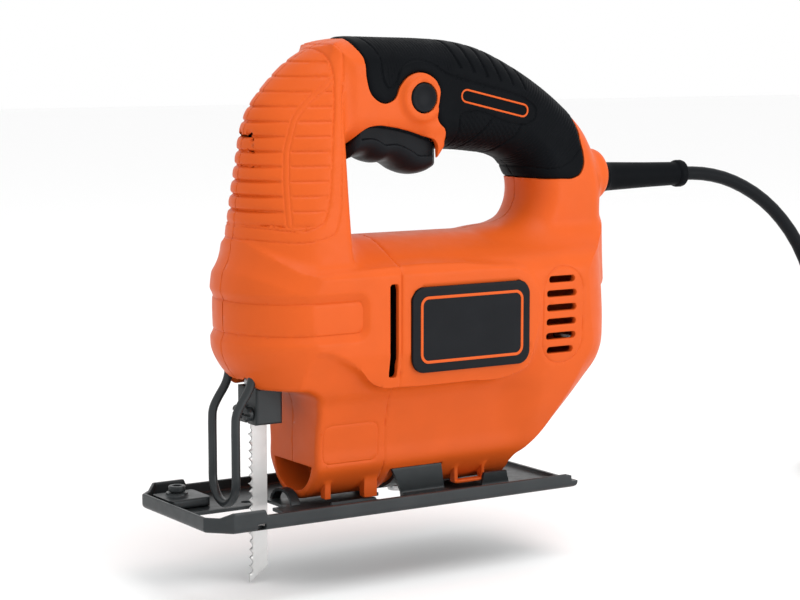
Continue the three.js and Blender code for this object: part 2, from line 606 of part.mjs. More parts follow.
function buildSwitchgear() {
  const holder = group(0, 0, 0);
  add(holder, 'switch_body', BLACK_PLASTIC, box(-4, 31, -3.8, 9.5, 162.6, 183));
  add(holder, 'cord_clamp', BLACK_PLASTIC, box(100, 107, -9, 9, 140.5, 145));
  const pivot = group(TRIGGER_PIVOT[0], 0, TRIGGER_PIVOT[1]);
  add(pivot, 'trigger_pin', STEEL, rod('y', 1.8, -TRIGGER_PIN_HALF, TRIGGER_PIN_HALF, [0, 0], 14));
  const coil = turned('y', [[2.2, -8.6], [3, -8.6], [3, -6.2], [2.2, -6.2], [2.2, -8.6]], 16);
  add(pivot, 'trigger_spring', STEEL, coil);
  const outline = [
    [-10.6, 144.3], [-4, 147], [0.6, 143.9], [9, 142.3], [16, 139.7], [22.5, 137.8], [29.5, 139.1], [34.4, 147.5],
    [31, 150.9], [22.6, 154.1], [9, 158.1], [-1, 158.5], [-4.7, 160], [-4.7, 165], [-6.5, 166.4], [-9.5, 166.4],
    [-12, 164], [-12, 160], [-9.2, 156], [-9, 152],
  ].map(([x, z]) => [x - TRIGGER_PIVOT[0], z - TRIGGER_PIVOT[1]]);
  const body = cut(prism('y', outline, -TRIGGER_HALF_WIDTH, TRIGGER_HALF_WIDTH),
    rod('y', 2.1, -20, 20, [0, 0], 14),
    box(-5, 5, -12, -5.9, -4, 9),
    box(-5, 5, 5.9, 12, -4, 9));
  add(group(TRIGGER_PIVOT[0], 0, TRIGGER_PIVOT[1]), 'trigger', BLACK_PLASTIC, body);
  const button = group(LOCK_BUTTON[0], 0, LOCK_BUTTON[1]);
  add(button, 'lock_button', BLACK_PLASTIC, turned('y', [
    [0, -20.2], [5.6, -20.2], [6.3, -19.5], [6.3, -14.2], [2, -14.2], [2, -9], [0, -9]], 24));
  add(button, 'lock_spring', STEEL, turned('y', [
    [2.6, -13.9], [3.6, -13.9], [3.6, -8.6], [2.6, -8.6], [2.6, -13.9]], 16));
}

// ---- Sole ----

function soleOutline(margin) {
  const half = SOLE_HALF_WIDTH - margin;
  const front = -SOLE_HALF_LENGTH + margin;
  const rear = SOLE_HALF_LENGTH;
  return [
    [rear, -half], [rear, half], [front + 9, half], [front, half - 9], [front, -half + 9], [front + 9, -half],
  ];
}

function soleRim() {
  const band = prism('z', soleOutline(0), 0, RIM_RAISED_TOP)
    .subtract(prism('z', soleOutline(SOLE_THICKNESS), -1, 20));
  const lowered = join(box(-66.5, 91, -40, 40, RIM_TOP, 20), box(-91, -81, -40, 40, RIM_TOP, 20));
  const rearEnd = box(88.5, 91, -40, 40, 3, 20);
  const fenceSlots = box(-70, -66.3, -40, 40, 0.6, 2.9);
  return cut(band, lowered, rearEnd, fenceSlots);
}

// Half-round hood pressed up out of the sole behind the blade, open to the front.
function soleHood() {
  const rise = (radius, height) => arc(1, 0, radius, height, 0, 180, 10);
  return prism('x', rise(9.5, 7.4), -42, -34.2).subtract(prism('x', rise(8, 5.9), -43, -35.6));
}

function buildSole() {
  const holder = group(0, 0, 0);
  const plate = prism('z', soleOutline(0.2), 0, SOLE_THICKNESS);
  const bladeOpening = box(-83.5, -42, -26, 2.4, -2, 5);
  const window = join(box(-2, SADDLE.high + 2, -16.4, -5, -2, 5),
    box(SADDLE.low - 1.5, SADDLE.high + 2, -16.4, 8, -2, 5));
  const hoodRoom = prism('x', arc(1, 0, 8, 5.9, 0, 180, 8), -43, -35.6);
  const fenceHole = rod('z', 2.3, -2, 5, [-50.5, 9], 14);
  const tabs = [
    box(-24, 0, -16.2, -14.7, 0, 2.6), box(-24, 0, 14.7, 16.2, 0, 2.6),
    box(51, 65, -18.9, -17.4, 0, 7.4), box(51, 65, 17.4, 18.9, 0, 7.4),
  ];
  const pressed = cut(join(plate, soleRim(), ...tabs, soleHood()), bladeOpening, window, hoodRoom, fenceHole);
  add(holder, 'sole_plate', DARK_STEEL, pressed);
  add(holder, 'sole_saddle', DARK_STEEL, saddleSolid());
  const clamp = cut(box(-85.8, -67, 9, 27.4, SOLE_THICKNESS + GAP, 5.6),
    box(-90, -60, 14, 24, 0, 3.6), rod('z', 2.4, 0, 12, FENCE_SCREW, 14));
  add(holder, 'fence_clamp', DARK_STEEL, clamp);
  add(holder, 'fence_clamp_screw', DARK_STEEL, cut(
    join(rod('z', 3.6, 5.9, 9.8, FENCE_SCREW, 18), rod('z', 2, 3.9, 6, FENCE_SCREW, 12)),
    rod('z', 1.9, 7, 12, FENCE_SCREW, 6)));
}

// Cradle that hugs the round underside, with an arc slot for the clamping screw.
function saddleSolid() {
  const { low, high, inner, outer, halfAngle } = SADDLE;
  const strip = prism('x', [
    ...arc(0, TILT_AXIS_Z, outer, outer, -90 - halfAngle, -90 + halfAngle, 14),
    ...arc(0, TILT_AXIS_Z, inner, inner, -90 + halfAngle, -90 - halfAngle, 14),
  ], low, high);
  const slotSector = prism('x', [
    [0, TILT_AXIS_Z], ...arc(0, TILT_AXIS_Z, 30, 30, -148, -80, 8),
  ], SOLE_SCREW_X - 3, SOLE_SCREW_X + 3);
  const foot = [
    [17.3, SOLE_THICKNESS + GAP], [23.5, SOLE_THICKNESS + GAP], [23.5, 3.2],
    [19, 3.2], [18.9, 14.5], [16.5, 14.5], [17.3, 9],
  ];
  const cheek = (sign) => prism('x', foot.map(([y, z]) => [sign * y, z]), low, high);
  return cut(join(strip, cheek(-1), cheek(1)), slotSector,
    rod('x', inner, low - 1, high + 1, [0, TILT_AXIS_Z], 28));
}

function buildSoleFixing() {
  const holder = group(SOLE_SCREW_X, 0, 0);
  add(holder, 'sole_screw', STEEL, cut(
    join(rod('z', 4, 0.8, 2.8, [0, 0], 18), rod('z', 2.4, 2.7, 15.8, [0, 0], 12)),
    rod('z', 1.8, 0, 1.8, [0, 0], 6)));
  add(holder, 'sole_nut', STEEL, box(-4, 4, -4, 4, 12, 16).subtract(rod('z', 2.7, 8, 20, [0, 0], 14)));
}

// ---- Blade guard ----

const smoothPath = (points) =>
  new THREE.CatmullRomCurve3(points.map((point) => new THREE.Vector3(...point)), false, 'centripetal');

function tubeAlong(path, radius, sides, steps) {
  const circle = shapeOf(arc(0, 0, radius, radius, 0, 360, sides).slice(0, sides));
  return solid(new THREE.ExtrudeGeometry(circle, { extrudePath: path, steps, bevelEnabled: false }));
}

function buildBladeGuard() {
  const side = (sign) => [
    [-57.5, 8.5 * sign, 65], [-57.5, 8.5 * sign, 57], [-58.6, 8.5 * sign, 52.5], [-62.8, 8.5 * sign, 46.5],
    [-64.5, 8.5 * sign, 41.5], [-64.6, 8.5 * sign, 28], [-64.6, 8.5 * sign, 15],
  ];
  const bottom = arc(0, 14, 8.5, 8.5, 0, -180, 6).map(([y, z]) => [-64.6, y, z]).slice(1, -1);
  const path = smoothPath([...side(1), ...bottom, ...side(-1).reverse()]);
  add(group(0, 0, 0), 'blade_guard', DARK_STEEL, tubeAlong(path, GUARD_WIRE / 2, 8, 30));
}

// ---- Cord ----

// Centre line from the strain relief to the coil, where it lies on the ground.
const CORD_ROUTE = [
  [CORD_EXIT_X + 0.3, 0, 133], [190, 0, 132.4], [203, 0, 130], [216, 0, 125.3], [229, 0, 118.2],
  [241, 0, 108.6], [252, 0, 96], [261, 0, 80], [268, -0.5, 61], [273.5, -2, 40], [279, -5, 20],
  [286, -9.5, 2], [296.5, -14, -14], [311, -18, -24], [317.5, -19.2, -26],
];

function buildCord() {
  const holder = group(0, 0, 0);
  const relief = turned('x', [
    [0, 119], [5.2, 119], [5.2, 133.3], [7, 133.3], [7, 136], [6, 138], [5.4, 172], [6.3, 174], [6.3, 176.6],
    [5, CORD_EXIT_X], [0, CORD_EXIT_X]], 20);
  add(holder, 'strain_relief', RUBBER, relief.translate(0, 0, CORD_EXIT_Z));
  add(holder, 'cord', PVC, tubeAlong(smoothPath(CORD_ROUTE), CORD_DIAMETER / 2, 8, 18));
  const inner = COIL_RADIUS - COIL_HALF_WIDTH;
  const outer = COIL_RADIUS + COIL_HALF_WIDTH;
  const bottom = GROUND_Z;
  const top = GROUND_Z + COIL_HEIGHT;
  const coil = turned('z', [
    [inner, bottom], [outer, bottom], [outer, top], [inner, top], [inner, bottom]], 32);
  add(group(COIL_CENTRE[0], COIL_CENTRE[1], 0), 'cord_coil', PVC, coil);
  buildPlug(top + GAP);
}

// Flat two-pin plug lying on the coil, where the cord leaves its innermost turn.
function buildPlug(bottom) {
  const innerTurn = COIL_RADIUS - CORD_DIAMETER;
  const holder = group(COIL_CENTRE[0] - innerTurn, COIL_CENTRE[1] - 30, bottom + 7);
  holder.rotation.z = -Math.PI / 2;
  const outline = [
    [-30, -3.4], [-14, -4.6], [-4, -13], [2, -16.5], [14, -17], [18, -14], [18, 14], [14, 17], [2, 16.5],
    [-4, 13], [-14, 4.6], [-30, 3.4],
  ];
  const body = prism('z', outline, -7, 7);
  const pins = [-9.5, 9.5].map((y) => rod('x', 2.4, 17, 36, [y, 0], 12));
  add(holder, 'plug', BLACK_PLASTIC, join(body, ...pins));
}

// ---- Assembly ----

buildHousing();
buildHousingScrews();
buildPlunger();
buildGear();
buildBearings();
buildArmature();
buildMotorField();
buildBrushes();
buildSwitchgear();
buildSole();
buildSoleFixing();
buildBladeGuard();
buildCord();

export default jigsaw;
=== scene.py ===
"""Corded jigsaw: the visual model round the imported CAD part.

Shapes are worked out in millimetres, in the part's own frame, and turned into metres when a mesh is made.
The origin is on the sole's underside.
X runs from the blade to the cord, +Y is the tool's right side and +Z is up.
"""
import json
import math

import bpy
import numpy as np
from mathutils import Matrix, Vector


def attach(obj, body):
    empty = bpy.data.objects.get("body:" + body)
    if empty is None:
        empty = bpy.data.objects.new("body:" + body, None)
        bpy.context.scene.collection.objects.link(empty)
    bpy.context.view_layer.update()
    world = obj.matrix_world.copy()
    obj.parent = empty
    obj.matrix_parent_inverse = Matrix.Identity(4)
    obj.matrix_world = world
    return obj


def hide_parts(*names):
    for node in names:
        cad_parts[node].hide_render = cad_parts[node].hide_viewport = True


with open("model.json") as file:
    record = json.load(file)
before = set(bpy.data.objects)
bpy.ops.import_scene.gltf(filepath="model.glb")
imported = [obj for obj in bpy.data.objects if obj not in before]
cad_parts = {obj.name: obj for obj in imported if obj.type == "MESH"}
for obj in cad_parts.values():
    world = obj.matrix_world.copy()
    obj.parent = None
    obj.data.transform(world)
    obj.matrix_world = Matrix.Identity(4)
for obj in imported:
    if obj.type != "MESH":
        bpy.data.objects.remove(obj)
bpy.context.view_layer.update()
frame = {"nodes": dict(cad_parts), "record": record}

MM = 0.001

# ---- Camera, floor and light ----

CAMERA_PLACE = (-0.47558, -0.76860, 0.19420)
CAMERA_AZIMUTH = -32.85
CAMERA_ELEVATION = 6.9
CAMERA_LENS = 96.17
FLOOR_Z = -0.0315


def direction_from(azimuth, elevation):
    """The unit vector from the object towards a viewer at that azimuth and elevation, in degrees."""
    a, e = math.radians(azimuth), math.radians(elevation)
    return Vector((math.sin(a) * math.cos(e), -math.cos(a) * math.cos(e), math.sin(e)))


def make_camera():
    data = bpy.data.cameras.new("camera")
    data.lens = CAMERA_LENS
    data.sensor_width = 36
    data.clip_end = 20
    camera = bpy.data.objects.new("camera", data)
    camera.location = CAMERA_PLACE
    back = direction_from(CAMERA_AZIMUTH, CAMERA_ELEVATION)
    camera.rotation_mode = "QUATERNION"
    camera.rotation_quaternion = (-back).to_track_quat("-Z", "Y")
    bpy.context.scene.collection.objects.link(camera)
    bpy.context.scene.camera = camera


def make_area_light(name, azimuth, elevation, distance, size, power):
    data = bpy.data.lights.new(name, "AREA")
    data.shape = "RECTANGLE"
    data.size, data.size_y = size
    data.energy = power
    light = bpy.data.objects.new(name, data)
    target = Vector((0.03, 0, 0.09))
    towards = direction_from(azimuth, elevation)
    light.location = target + towards * distance
    light.rotation_mode = "QUATERNION"
    light.rotation_quaternion = towards.to_track_quat("Z", "Y")
    bpy.context.scene.collection.objects.link(light)


def make_studio():
    floor_mesh = bpy.data.meshes.new("floor")
    half = 6.0
    corners = [(-half, -half, FLOOR_Z), (half, -half, FLOOR_Z), (half, half, FLOOR_Z), (-half, half, FLOOR_Z)]
    floor_mesh.from_pydata(corners, [], [(0, 1, 2, 3)])
    floor = bpy.data.objects.new("floor", floor_mesh)
    bpy.context.scene.collection.objects.link(floor)
    floor_mesh.materials.append(simple_material("floor_pale", (0.96, 0.96, 0.96), 0.9))
    world = bpy.data.worlds.new("studio")
    world.use_nodes = True
    world.node_tree.nodes["Background"].inputs["Color"].default_value = (1, 1, 1, 1)
    world.node_tree.nodes["Background"].inputs["Strength"].default_value = 1.0
    bpy.context.scene.world = world
    bpy.context.scene.view_settings.view_transform = "Standard"
    make_area_light("key", 12, 64, 1.4, (0.9, 0.9), 8)
    make_area_light("side", 28, 7, 1.6, (0.9, 0.9), 8)


# ---- Materials ----


def simple_material(name, colour, roughness, metallic=0.0):
    material = bpy.data.materials.new(name)
    material.use_nodes = True
    shader = material.node_tree.nodes["Principled BSDF"]
    shader.inputs["Base Color"].default_value = (*colour, 1)
    shader.inputs["Roughness"].default_value = roughness
    shader.inputs["Metallic"].default_value = metallic
    return material


def noise(tree, scale, detail=3.0, stretch=(1, 1, 1)):
    """Noise that sits on the object; scale is in blobs per metre."""
    place = tree.nodes.new("ShaderNodeTexCoord")
    mapping = tree.nodes.new("ShaderNodeMapping")
    mapping.inputs["Scale"].default_value = stretch
    texture = tree.nodes.new("ShaderNodeTexNoise")
    texture.inputs["Scale"].default_value = scale
    texture.inputs["Detail"].default_value = detail
    tree.links.new(place.outputs["Object"], mapping.inputs["Vector"])
    tree.links.new(mapping.outputs["Vector"], texture.inputs["Vector"])
    return texture.outputs["Fac"]


def spread_over(tree, value, low, high):
    """A noise value stretched to run from low to high."""
    node = tree.nodes.new("ShaderNodeMapRange")
    node.inputs["From Min"].default_value = 0.3
    node.inputs["From Max"].default_value = 0.7
    node.inputs["To Min"].default_value = low
    node.inputs["To Max"].default_value = high
    tree.links.new(value, node.inputs["Value"])
    return node.outputs["Result"]


def colour_between(tree, share, first, second):
    node = tree.nodes.new("ShaderNodeMix")
    node.data_type = "RGBA"
    node.inputs["A"].default_value = (*first, 1)
    node.inputs["B"].default_value = (*second, 1)
    tree.links.new(share, node.inputs["Factor"])
    return node.outputs["Result"]


def bump(tree, height, distance, strength=1.0):
    node = tree.nodes.new("ShaderNodeBump")
    node.inputs["Distance"].default_value = distance
    node.inputs["Strength"].default_value = strength
    tree.links.new(height, node.inputs["Height"])
    return node.outputs["Normal"]


def surface(name, colour, roughness, metallic=0.0, specular=0.5, mottle=0.06, mottle_scale=60, grain=1500,
            grain_depth=0.00002, stretch=(1, 1, 1)):
    """Soft patches of colour and gloss, and a fine grain. Stretch draws the grain out into lines."""
    material = simple_material(name, colour, roughness, metallic)
    tree = material.node_tree
    shader = tree.nodes["Principled BSDF"]
    shader.inputs["Specular IOR Level"].default_value = specular
    patches = spread_over(tree, noise(tree, mottle_scale), 0, 1)
    darker = tuple(c * (1 - mottle) for c in colour)
    lighter = tuple(min(1, c * (1 + mottle)) for c in colour)
    tree.links.new(colour_between(tree, patches, darker, lighter), shader.inputs["Base Color"])
    gloss = spread_over(tree, noise(tree, mottle_scale * 3), roughness - 0.05, roughness + 0.05)
    tree.links.new(gloss, shader.inputs["Roughness"])
    fine = noise(tree, grain, 2, stretch)
    tree.links.new(bump(tree, fine, grain_depth), shader.inputs["Normal"])
    return material


def wound_wire(name, colour):
    """Lacquered wire laid side by side."""
    material = surface(name, colour, 0.35, 0.85)
    tree = material.node_tree
    shader = tree.nodes["Principled BSDF"]
    place = tree.nodes.new("ShaderNodeTexCoord")
    wave = tree.nodes.new("ShaderNodeTexWave")
    wave.bands_direction = "X"
    wave.inputs["Scale"].default_value = 320
    wave.inputs["Distortion"].default_value = 0.4
    tree.links.new(place.outputs["Object"], wave.inputs["Vector"])
    tree.links.new(bump(tree, wave.outputs["Fac"], 0.0002), shader.inputs["Normal"])
    return material


def make_materials():
    """One material for each slot of the record."""
    return {
        "orange_shell": surface("orange_shell", (0.61, 0.092, 0.011), 0.42, specular=0.14, mottle=0.03,
                                grain=2200, grain_depth=0.000012),
        "soft_grip": surface("soft_grip", (0.0032, 0.0039, 0.005), 0.5, specular=0.035, mottle=0.12,
                             grain=1700, grain_depth=0.00003),
        "black_plastic": surface("black_plastic", (0.009, 0.01, 0.012), 0.42, specular=0.07, mottle=0.1,
                                 grain=1900, grain_depth=0.000016),
        "black_sheet_steel": surface("black_sheet_steel", (0.026, 0.03, 0.032), 0.36, 0.25, 0.3, mottle=0.12,
                                     mottle_scale=90, grain=900, grain_depth=0.00002),
        "steel": surface("steel", (0.5, 0.51, 0.52), 0.3, 1.0, mottle=0.05, grain=1500, stretch=(1, 8, 8)),
        "blade_steel": surface("blade_steel", (0.56, 0.56, 0.555), 0.4, 0.85, mottle=0.04, mottle_scale=120,
                               grain=900, grain_depth=0.000012, stretch=(6, 6, 0.5)),
        "brass": surface("brass", (0.6, 0.42, 0.16), 0.32, 1.0, mottle=0.08, stretch=(1, 6, 1)),
        "bronze": surface("bronze", (0.3, 0.19, 0.09), 0.5, 0.9, mottle=0.2, mottle_scale=400, grain=1200,
                          grain_depth=0.00008),
        "copper": wound_wire("copper", (0.5, 0.2, 0.09)),
        "carbon": surface("carbon", (0.03, 0.03, 0.03), 0.7, mottle=0.3, mottle_scale=500, grain=2500,
                          grain_depth=0.00005),
        "aluminium": surface("aluminium", (0.4, 0.41, 0.42), 0.45, 0.95, mottle=0.1, mottle_scale=150,
                             grain=700, grain_depth=0.00008),
        "cord_pvc": surface("cord_pvc", (0.0055, 0.0065, 0.008), 0.4, specular=0.08, mottle=0.08, grain=1200,
                            grain_depth=0.00002),
    }


def dress_inner_parts(materials):
    """Gives every CAD node its slot's material, and smooths the shading of its curved faces."""
    for subpart in frame["record"]["subparts"]:
        mesh = frame["nodes"][subpart["node"]].data
        mesh.materials.clear()
        mesh.materials.append(materials[subpart["material_slot"]])
        mesh.shade_smooth()
        mesh.set_sharp_from_angle(angle=math.radians(32))


# ---- Outlines ----


def spline(points, closed=True, per=6):
    """A smooth line through given points. A point given twice is a sharp corner."""
    count = len(points)
    result = []
    points = np.array(points, float)

    def slope(a, b):
        d = points[b % count] - points[a % count]
        return d, math.hypot(*d)

    def tangent(i):
        before, length_before = slope(i - 1, i)
        after, length_after = slope(i, i + 1)
        if not closed and i % count == 0 or length_before < 1e-9:
            return after / max(length_after, 1e-9)
        if not closed and i % count == count - 1 or length_after < 1e-9:
            return before / max(length_before, 1e-9)
        mix = before / length_before * length_after + after / length_after * length_before
        return mix / (length_before + length_after)

    for i in range(count if closed else count - 1):
        _, length = slope(i, i + 1)
        if length < 1e-9:
            continue
        start, end = tangent(i) * length, tangent(i + 1) * length
        steps = max(1, min(per, int(length / 1.0)))
        for k in range(steps):
            t = k / steps
            result.append(
                (2 * t**3 - 3 * t**2 + 1) * points[i] + (t**3 - 2 * t**2 + t) * start
                + (3 * t**2 - 2 * t**3) * points[(i + 1) % count] + (t**3 - t**2) * end)
    if not closed:
        result.append(points[-1])
    return [tuple(p) for p in result]


def distance_to_line(u, v, line, closed):
    """Distance from each point to a line of straight pieces, and whether it is inside a closed one."""
    best = np.full(np.shape(u), 1e18)
    inside = np.zeros(np.shape(u), bool)
    ends = line[1:] + (line[:1] if closed else [])
    for (u0, v0), (u1, v1) in zip(line, ends):
        du, dv = u1 - u0, v1 - v0
        share = np.clip(((u - u0) * du + (v - v0) * dv) / max(du * du + dv * dv, 1e-12), 0, 1)
        best = np.minimum(best, (u - u0 - share * du) ** 2 + (v - v0 - share * dv) ** 2)
        if closed and dv != 0:
            inside ^= ((v0 <= v) != (v1 <= v)) & (u < u0 + (v - v0) * du / dv)
    return np.sqrt(best), inside


def table_of(line, closed=True, step=0.5, margin=10):
    """A function giving the signed distance to an outline (negative inside), read from a fine table."""
    corners = np.array(line)
    low = corners.min(0) - margin
    size = np.ceil((corners.max(0) + margin - low) / step).astype(int) + 1
    u = low[0] + step * np.arange(size[0])[:, None]
    v = low[1] + step * np.arange(size[1])[None, :]
    u, v = np.broadcast_arrays(u, v)
    distance, inside = distance_to_line(u, v, line, closed)
    values = np.where(inside, -distance, distance)

    def read(p, q):
        a = np.clip((p - low[0]) / step, 0, size[0] - 1.001)
        b = np.clip((q - low[1]) / step, 0, size[1] - 1.001)
        i, j = a.astype(int), b.astype(int)
        s, t = a - i, b - j
        near = values[i, j] * (1 - t) + values[i, j + 1] * t
        far = values[i + 1, j] * (1 - t) + values[i + 1, j + 1] * t
        return near * (1 - s) + far * s

    return read


def rounded_box(u, v, low, high, radius):
    """Signed distance to a rounded rectangle."""
    du = np.abs(u - (low[0] + high[0]) / 2) - (high[0] - low[0]) / 2 + radius
    dv = np.abs(v - (low[1] + high[1]) / 2) - (high[1] - low[1]) / 2 + radius
    outside = np.hypot(np.maximum(du, 0), np.maximum(dv, 0))
    return outside + np.minimum(np.maximum(du, dv), 0) - radius


# ---- Solids as signed distances, negative inside ----


def meet(a, b, radius=0.0):
    """What is inside both, with the edge between them rounded."""
    if np.ndim(radius) == 0 and radius == 0:
        return np.maximum(a, b)
    corner = np.hypot(np.maximum(a + radius, 0), np.maximum(b + radius, 0))
    return np.minimum(np.maximum(a, b), -radius) + corner


def join(a, b, radius=0.0):
    """What is inside either, with a fillet between them."""
    return -meet(-a, -b, radius)


def inflate(profile, y, half_width, depth):
    """A body with half an ellipse as its edge: it reaches full width at that depth inside the outline."""
    u = np.maximum(profile + depth, 0)
    v = np.abs(y)
    ring = np.hypot(u / depth, v / half_width)
    slope = np.hypot(u / depth**2, v / half_width**2)
    return np.where(ring > 1e-6, ring * (ring - 1) / np.maximum(slope, 1e-9), -np.minimum(depth, half_width))


def between(value, start, end):
    """0 before start and 1 after end, turning smoothly."""
    t = np.clip((value - start) / (end - start), 0, 1)
    return t * t * (3 - 2 * t)


def line_groove(distance, depth, half_width):
    return depth * np.exp(-((distance / half_width) ** 2))


# ---- From a solid to a mesh ----


def gradient(field, points, reach=0.05):
    """The field's slope at each point."""
    x, y, z = points.T
    return np.stack([
        field(x + reach, y, z) - field(x - reach, y, z),
        field(x, y + reach, z) - field(x, y - reach, z),
        field(x, y, z + reach) - field(x, y, z - reach)], 1) / (2 * reach)


def contour(field, low, high, step):
    """Dual contouring: one point per crossed cell, at the corner or edge that the surface has there."""
    low = np.array(low, float)
    size = np.ceil((np.array(high) - low) / step).astype(int) + 1
    axes = [low[k] + step * np.arange(size[k]) for k in range(3)]
    x, y, z = axes[0][:, None, None], axes[1][None, :, None], axes[2][None, None, :]
    values = np.broadcast_to(field(x, y, z), size).astype(np.float32)
    inside = values < 0
    strides = np.array([size[1] * size[2], size[2], 1])
    crossings, cells, quads = [], [], []
    for axis in range(3):
        near = [slice(None)] * 3
        far = [slice(None)] * 3
        near[axis], far[axis] = slice(0, -1), slice(1, None)
        near, far = tuple(near), tuple(far)
        index = np.argwhere(inside[near] != inside[far])
        a = values[near][tuple(index.T)]
        b = values[far][tuple(index.T)]
        place = index.astype(float)
        place[:, axis] += a / (a - b)
        crossings.append(low + step * place)
        flat = index @ strides
        su, sv = strides[(axis + 1) % 3], strides[(axis + 2) % 3]
        around = np.stack([flat - su - sv, flat - sv, flat, flat - su], 1)
        cells.append(around)
        outward = a < 0
        quads.append(np.where(outward[:, None], around, around[:, ::-1]))
    crossings = np.concatenate(crossings)
    cells = np.concatenate(cells)
    slopes = gradient(field, crossings)
    slopes /= np.maximum(np.linalg.norm(slopes, axis=1, keepdims=True), 1e-9)
    names, which = np.unique(cells.ravel(), return_inverse=True)
    which = which.reshape(cells.shape)
    number = len(names)

    def gather(amount):
        return sum(np.bincount(which[:, k], amount, number) for k in range(4))

    count = gather(np.ones(len(crossings)))
    middle = np.stack([gather(crossings[:, k]) for k in range(3)], 1) / count[:, None]
    pull = 0.05
    matrix = np.zeros((number, 3, 3))
    for i in range(3):
        for j in range(i, 3):
            matrix[:, i, j] = matrix[:, j, i] = gather(slopes[:, i] * slopes[:, j])
        matrix[:, i, i] += pull
    along = (slopes * crossings).sum(1)
    right = np.stack([gather(slopes[:, k] * along) for k in range(3)], 1) + pull * middle
    points = np.linalg.solve(matrix, right[:, :, None])[:, :, 0]
    cell_low = low + step * np.stack(np.unravel_index(names, size), 1)
    points = np.clip(points, cell_low - 0.1 * step, cell_low + 1.1 * step)
    lookup = np.concatenate(quads)
    quads = np.searchsorted(names, lookup)
    return points, quads


def triangles_of(points, quads):
    """Each four-sided face cut along its shorter diagonal."""
    corner = points[quads]
    first = np.linalg.norm(corner[:, 0] - corner[:, 2], axis=1)
    second = np.linalg.norm(corner[:, 1] - corner[:, 3], axis=1)
    turned = np.where((second < first)[:, None], quads[:, [1, 2, 3, 0]], quads)
    return np.concatenate([turned[:, [0, 1, 2]], turned[:, [0, 2, 3]]])


def refine(points, triangles, wanted):
    """Cuts each edge that is longer than wanted at its middle, and its triangles to match."""
    edges = np.sort(triangles[:, [[0, 1], [1, 2], [2, 0]]].reshape(-1, 2), axis=1)
    keys, which = np.unique(edges[:, 0] * len(points) + edges[:, 1], return_inverse=True)
    ends = np.stack([keys // len(points), keys % len(points)], 1)
    middle = points[ends].mean(1)
    length = np.linalg.norm(points[ends[:, 0]] - points[ends[:, 1]], axis=1)
    split = length > wanted(*middle.T)
    new = np.where(split, len(points) + np.cumsum(split) - 1, -1)
    points = np.concatenate([points, middle[split]])
    mids = new[which.reshape(-1, 3)]
    pattern = (mids >= 0) @ np.array([1, 2, 4])
    result = [triangles[pattern == 0]]
    for code in range(1, 8):
        chosen = pattern == code
        if not chosen.any():
            continue
        turn = {1: 0, 2: 1, 4: 2, 3: 0, 6: 1, 5: 2, 7: 0}[code]
        a, b, c = np.roll(triangles[chosen], -turn, axis=1).T
        m, n, o = np.roll(mids[chosen], -turn, axis=1).T
        if code in (1, 2, 4):
            parts = [(a, m, c), (m, b, c)]
        elif code == 7:
            parts = [(a, m, o), (m, b, n), (o, n, c), (m, n, o)]
        else:
            parts = [(m, b, n), (a, m, n), (a, n, c)]
        result += [np.stack(part, 1) for part in parts]
    return points, np.concatenate(result)


def settle(points, field, rounds=3):
    """Moves each point onto the surface."""
    for _ in range(rounds):
        slope = gradient(field, points)
        steep = np.maximum((slope**2).sum(1), 0.05)
        step = -(field(*points.T) / steep)[:, None] * slope
        length = np.maximum(np.linalg.norm(step, axis=1, keepdims=True), 1e-9)
        points = points + step * np.minimum(1, 0.6 / length)
    return points


def mesh_object(name, points, faces, material, body, smooth_angle=35):
    """A Blender object from points in millimetres."""
    mesh = bpy.data.meshes.new(name)
    mesh.vertices.add(len(points))
    mesh.vertices.foreach_set("co", (np.asarray(points, float) * MM).astype(np.float32).ravel())
    mesh.loops.add(faces.size)
    mesh.loops.foreach_set("vertex_index", faces.astype(np.int32).ravel())
    mesh.polygons.add(len(faces))
    sides = faces.shape[1]
    mesh.polygons.foreach_set("loop_start", np.arange(0, faces.size, sides, dtype=np.int32))
    mesh.update(calc_edges=True)
    mesh.validate()
    mesh.shade_smooth()
    mesh.set_sharp_from_angle(angle=math.radians(smooth_angle))
    mesh.materials.append(material)
    made = bpy.data.objects.new(name, mesh)
    bpy.context.scene.collection.objects.link(made)
    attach(made, body)
    return made


def solid_piece(name, field, low, high, step, material, body, wanted=None, rounds=2, smooth_angle=35):
    """The surface of a field as a piece, with smaller triangles where wanted says so."""
    points, quads = contour(field, low, high, step)
    triangles = triangles_of(points, quads)
    points = settle(points, field, 1)
    if wanted is not None:
        for _ in range(rounds):
            points, triangles = refine(points, triangles, wanted)
            points = settle(points, field, 1)
    points = settle(points, field, 1)
    return mesh_object(name, points, triangles, material, body, smooth_angle)


# ---- Housing shape ----

TILT_AXIS_Z = 23
WALL = 2.6
GRIP_SKIN = 2.4
SEAM_HALF = 0.15
SEAM_X = -0.4

ROUND_BOTTOM = [(17.2, 12.4), (12.2, 6.9), (6, 3.7), (0, 2.8)]
FRONT_SECTION = [
    (0, 113), (10, 112), (17.6, 109.2), (25.4, 105.3), (31.2, 101), (34, 96.8), (34.5, 92), (34.5, 76),
    (33.2, 68), (29.5, 58.6), (26.4, 50), (23.6, 45), (22.3, 40), (21, 33), (20.3, 26), (20.2, 17.6),
    *ROUND_BOTTOM]
REAR_SECTION = [
    (0, 113), (10, 112), (17.6, 109.2), (25.4, 105.3), (30.5, 101.2), (33, 96), (33.2, 88), (33, 72),
    (32, 60), (29.8, 49), (26.4, 37), (23, 27), (20.2, 17.6), *ROUND_BOTTOM]
NOSE_FRONT = [
    (-52, 20), (-57.5, 52), (-60.3, 56.4), (-63, 60), (-66.4, 67.5), (-66.7, 72), (-66.4, 96), (-65.6, 100.5),
    (-61.6, 107), (-60.6, 117), (-60, 126), (-60, 150), (-60, 150), (240, 150), (240, 150), (240, 20),
    (240, 20)]
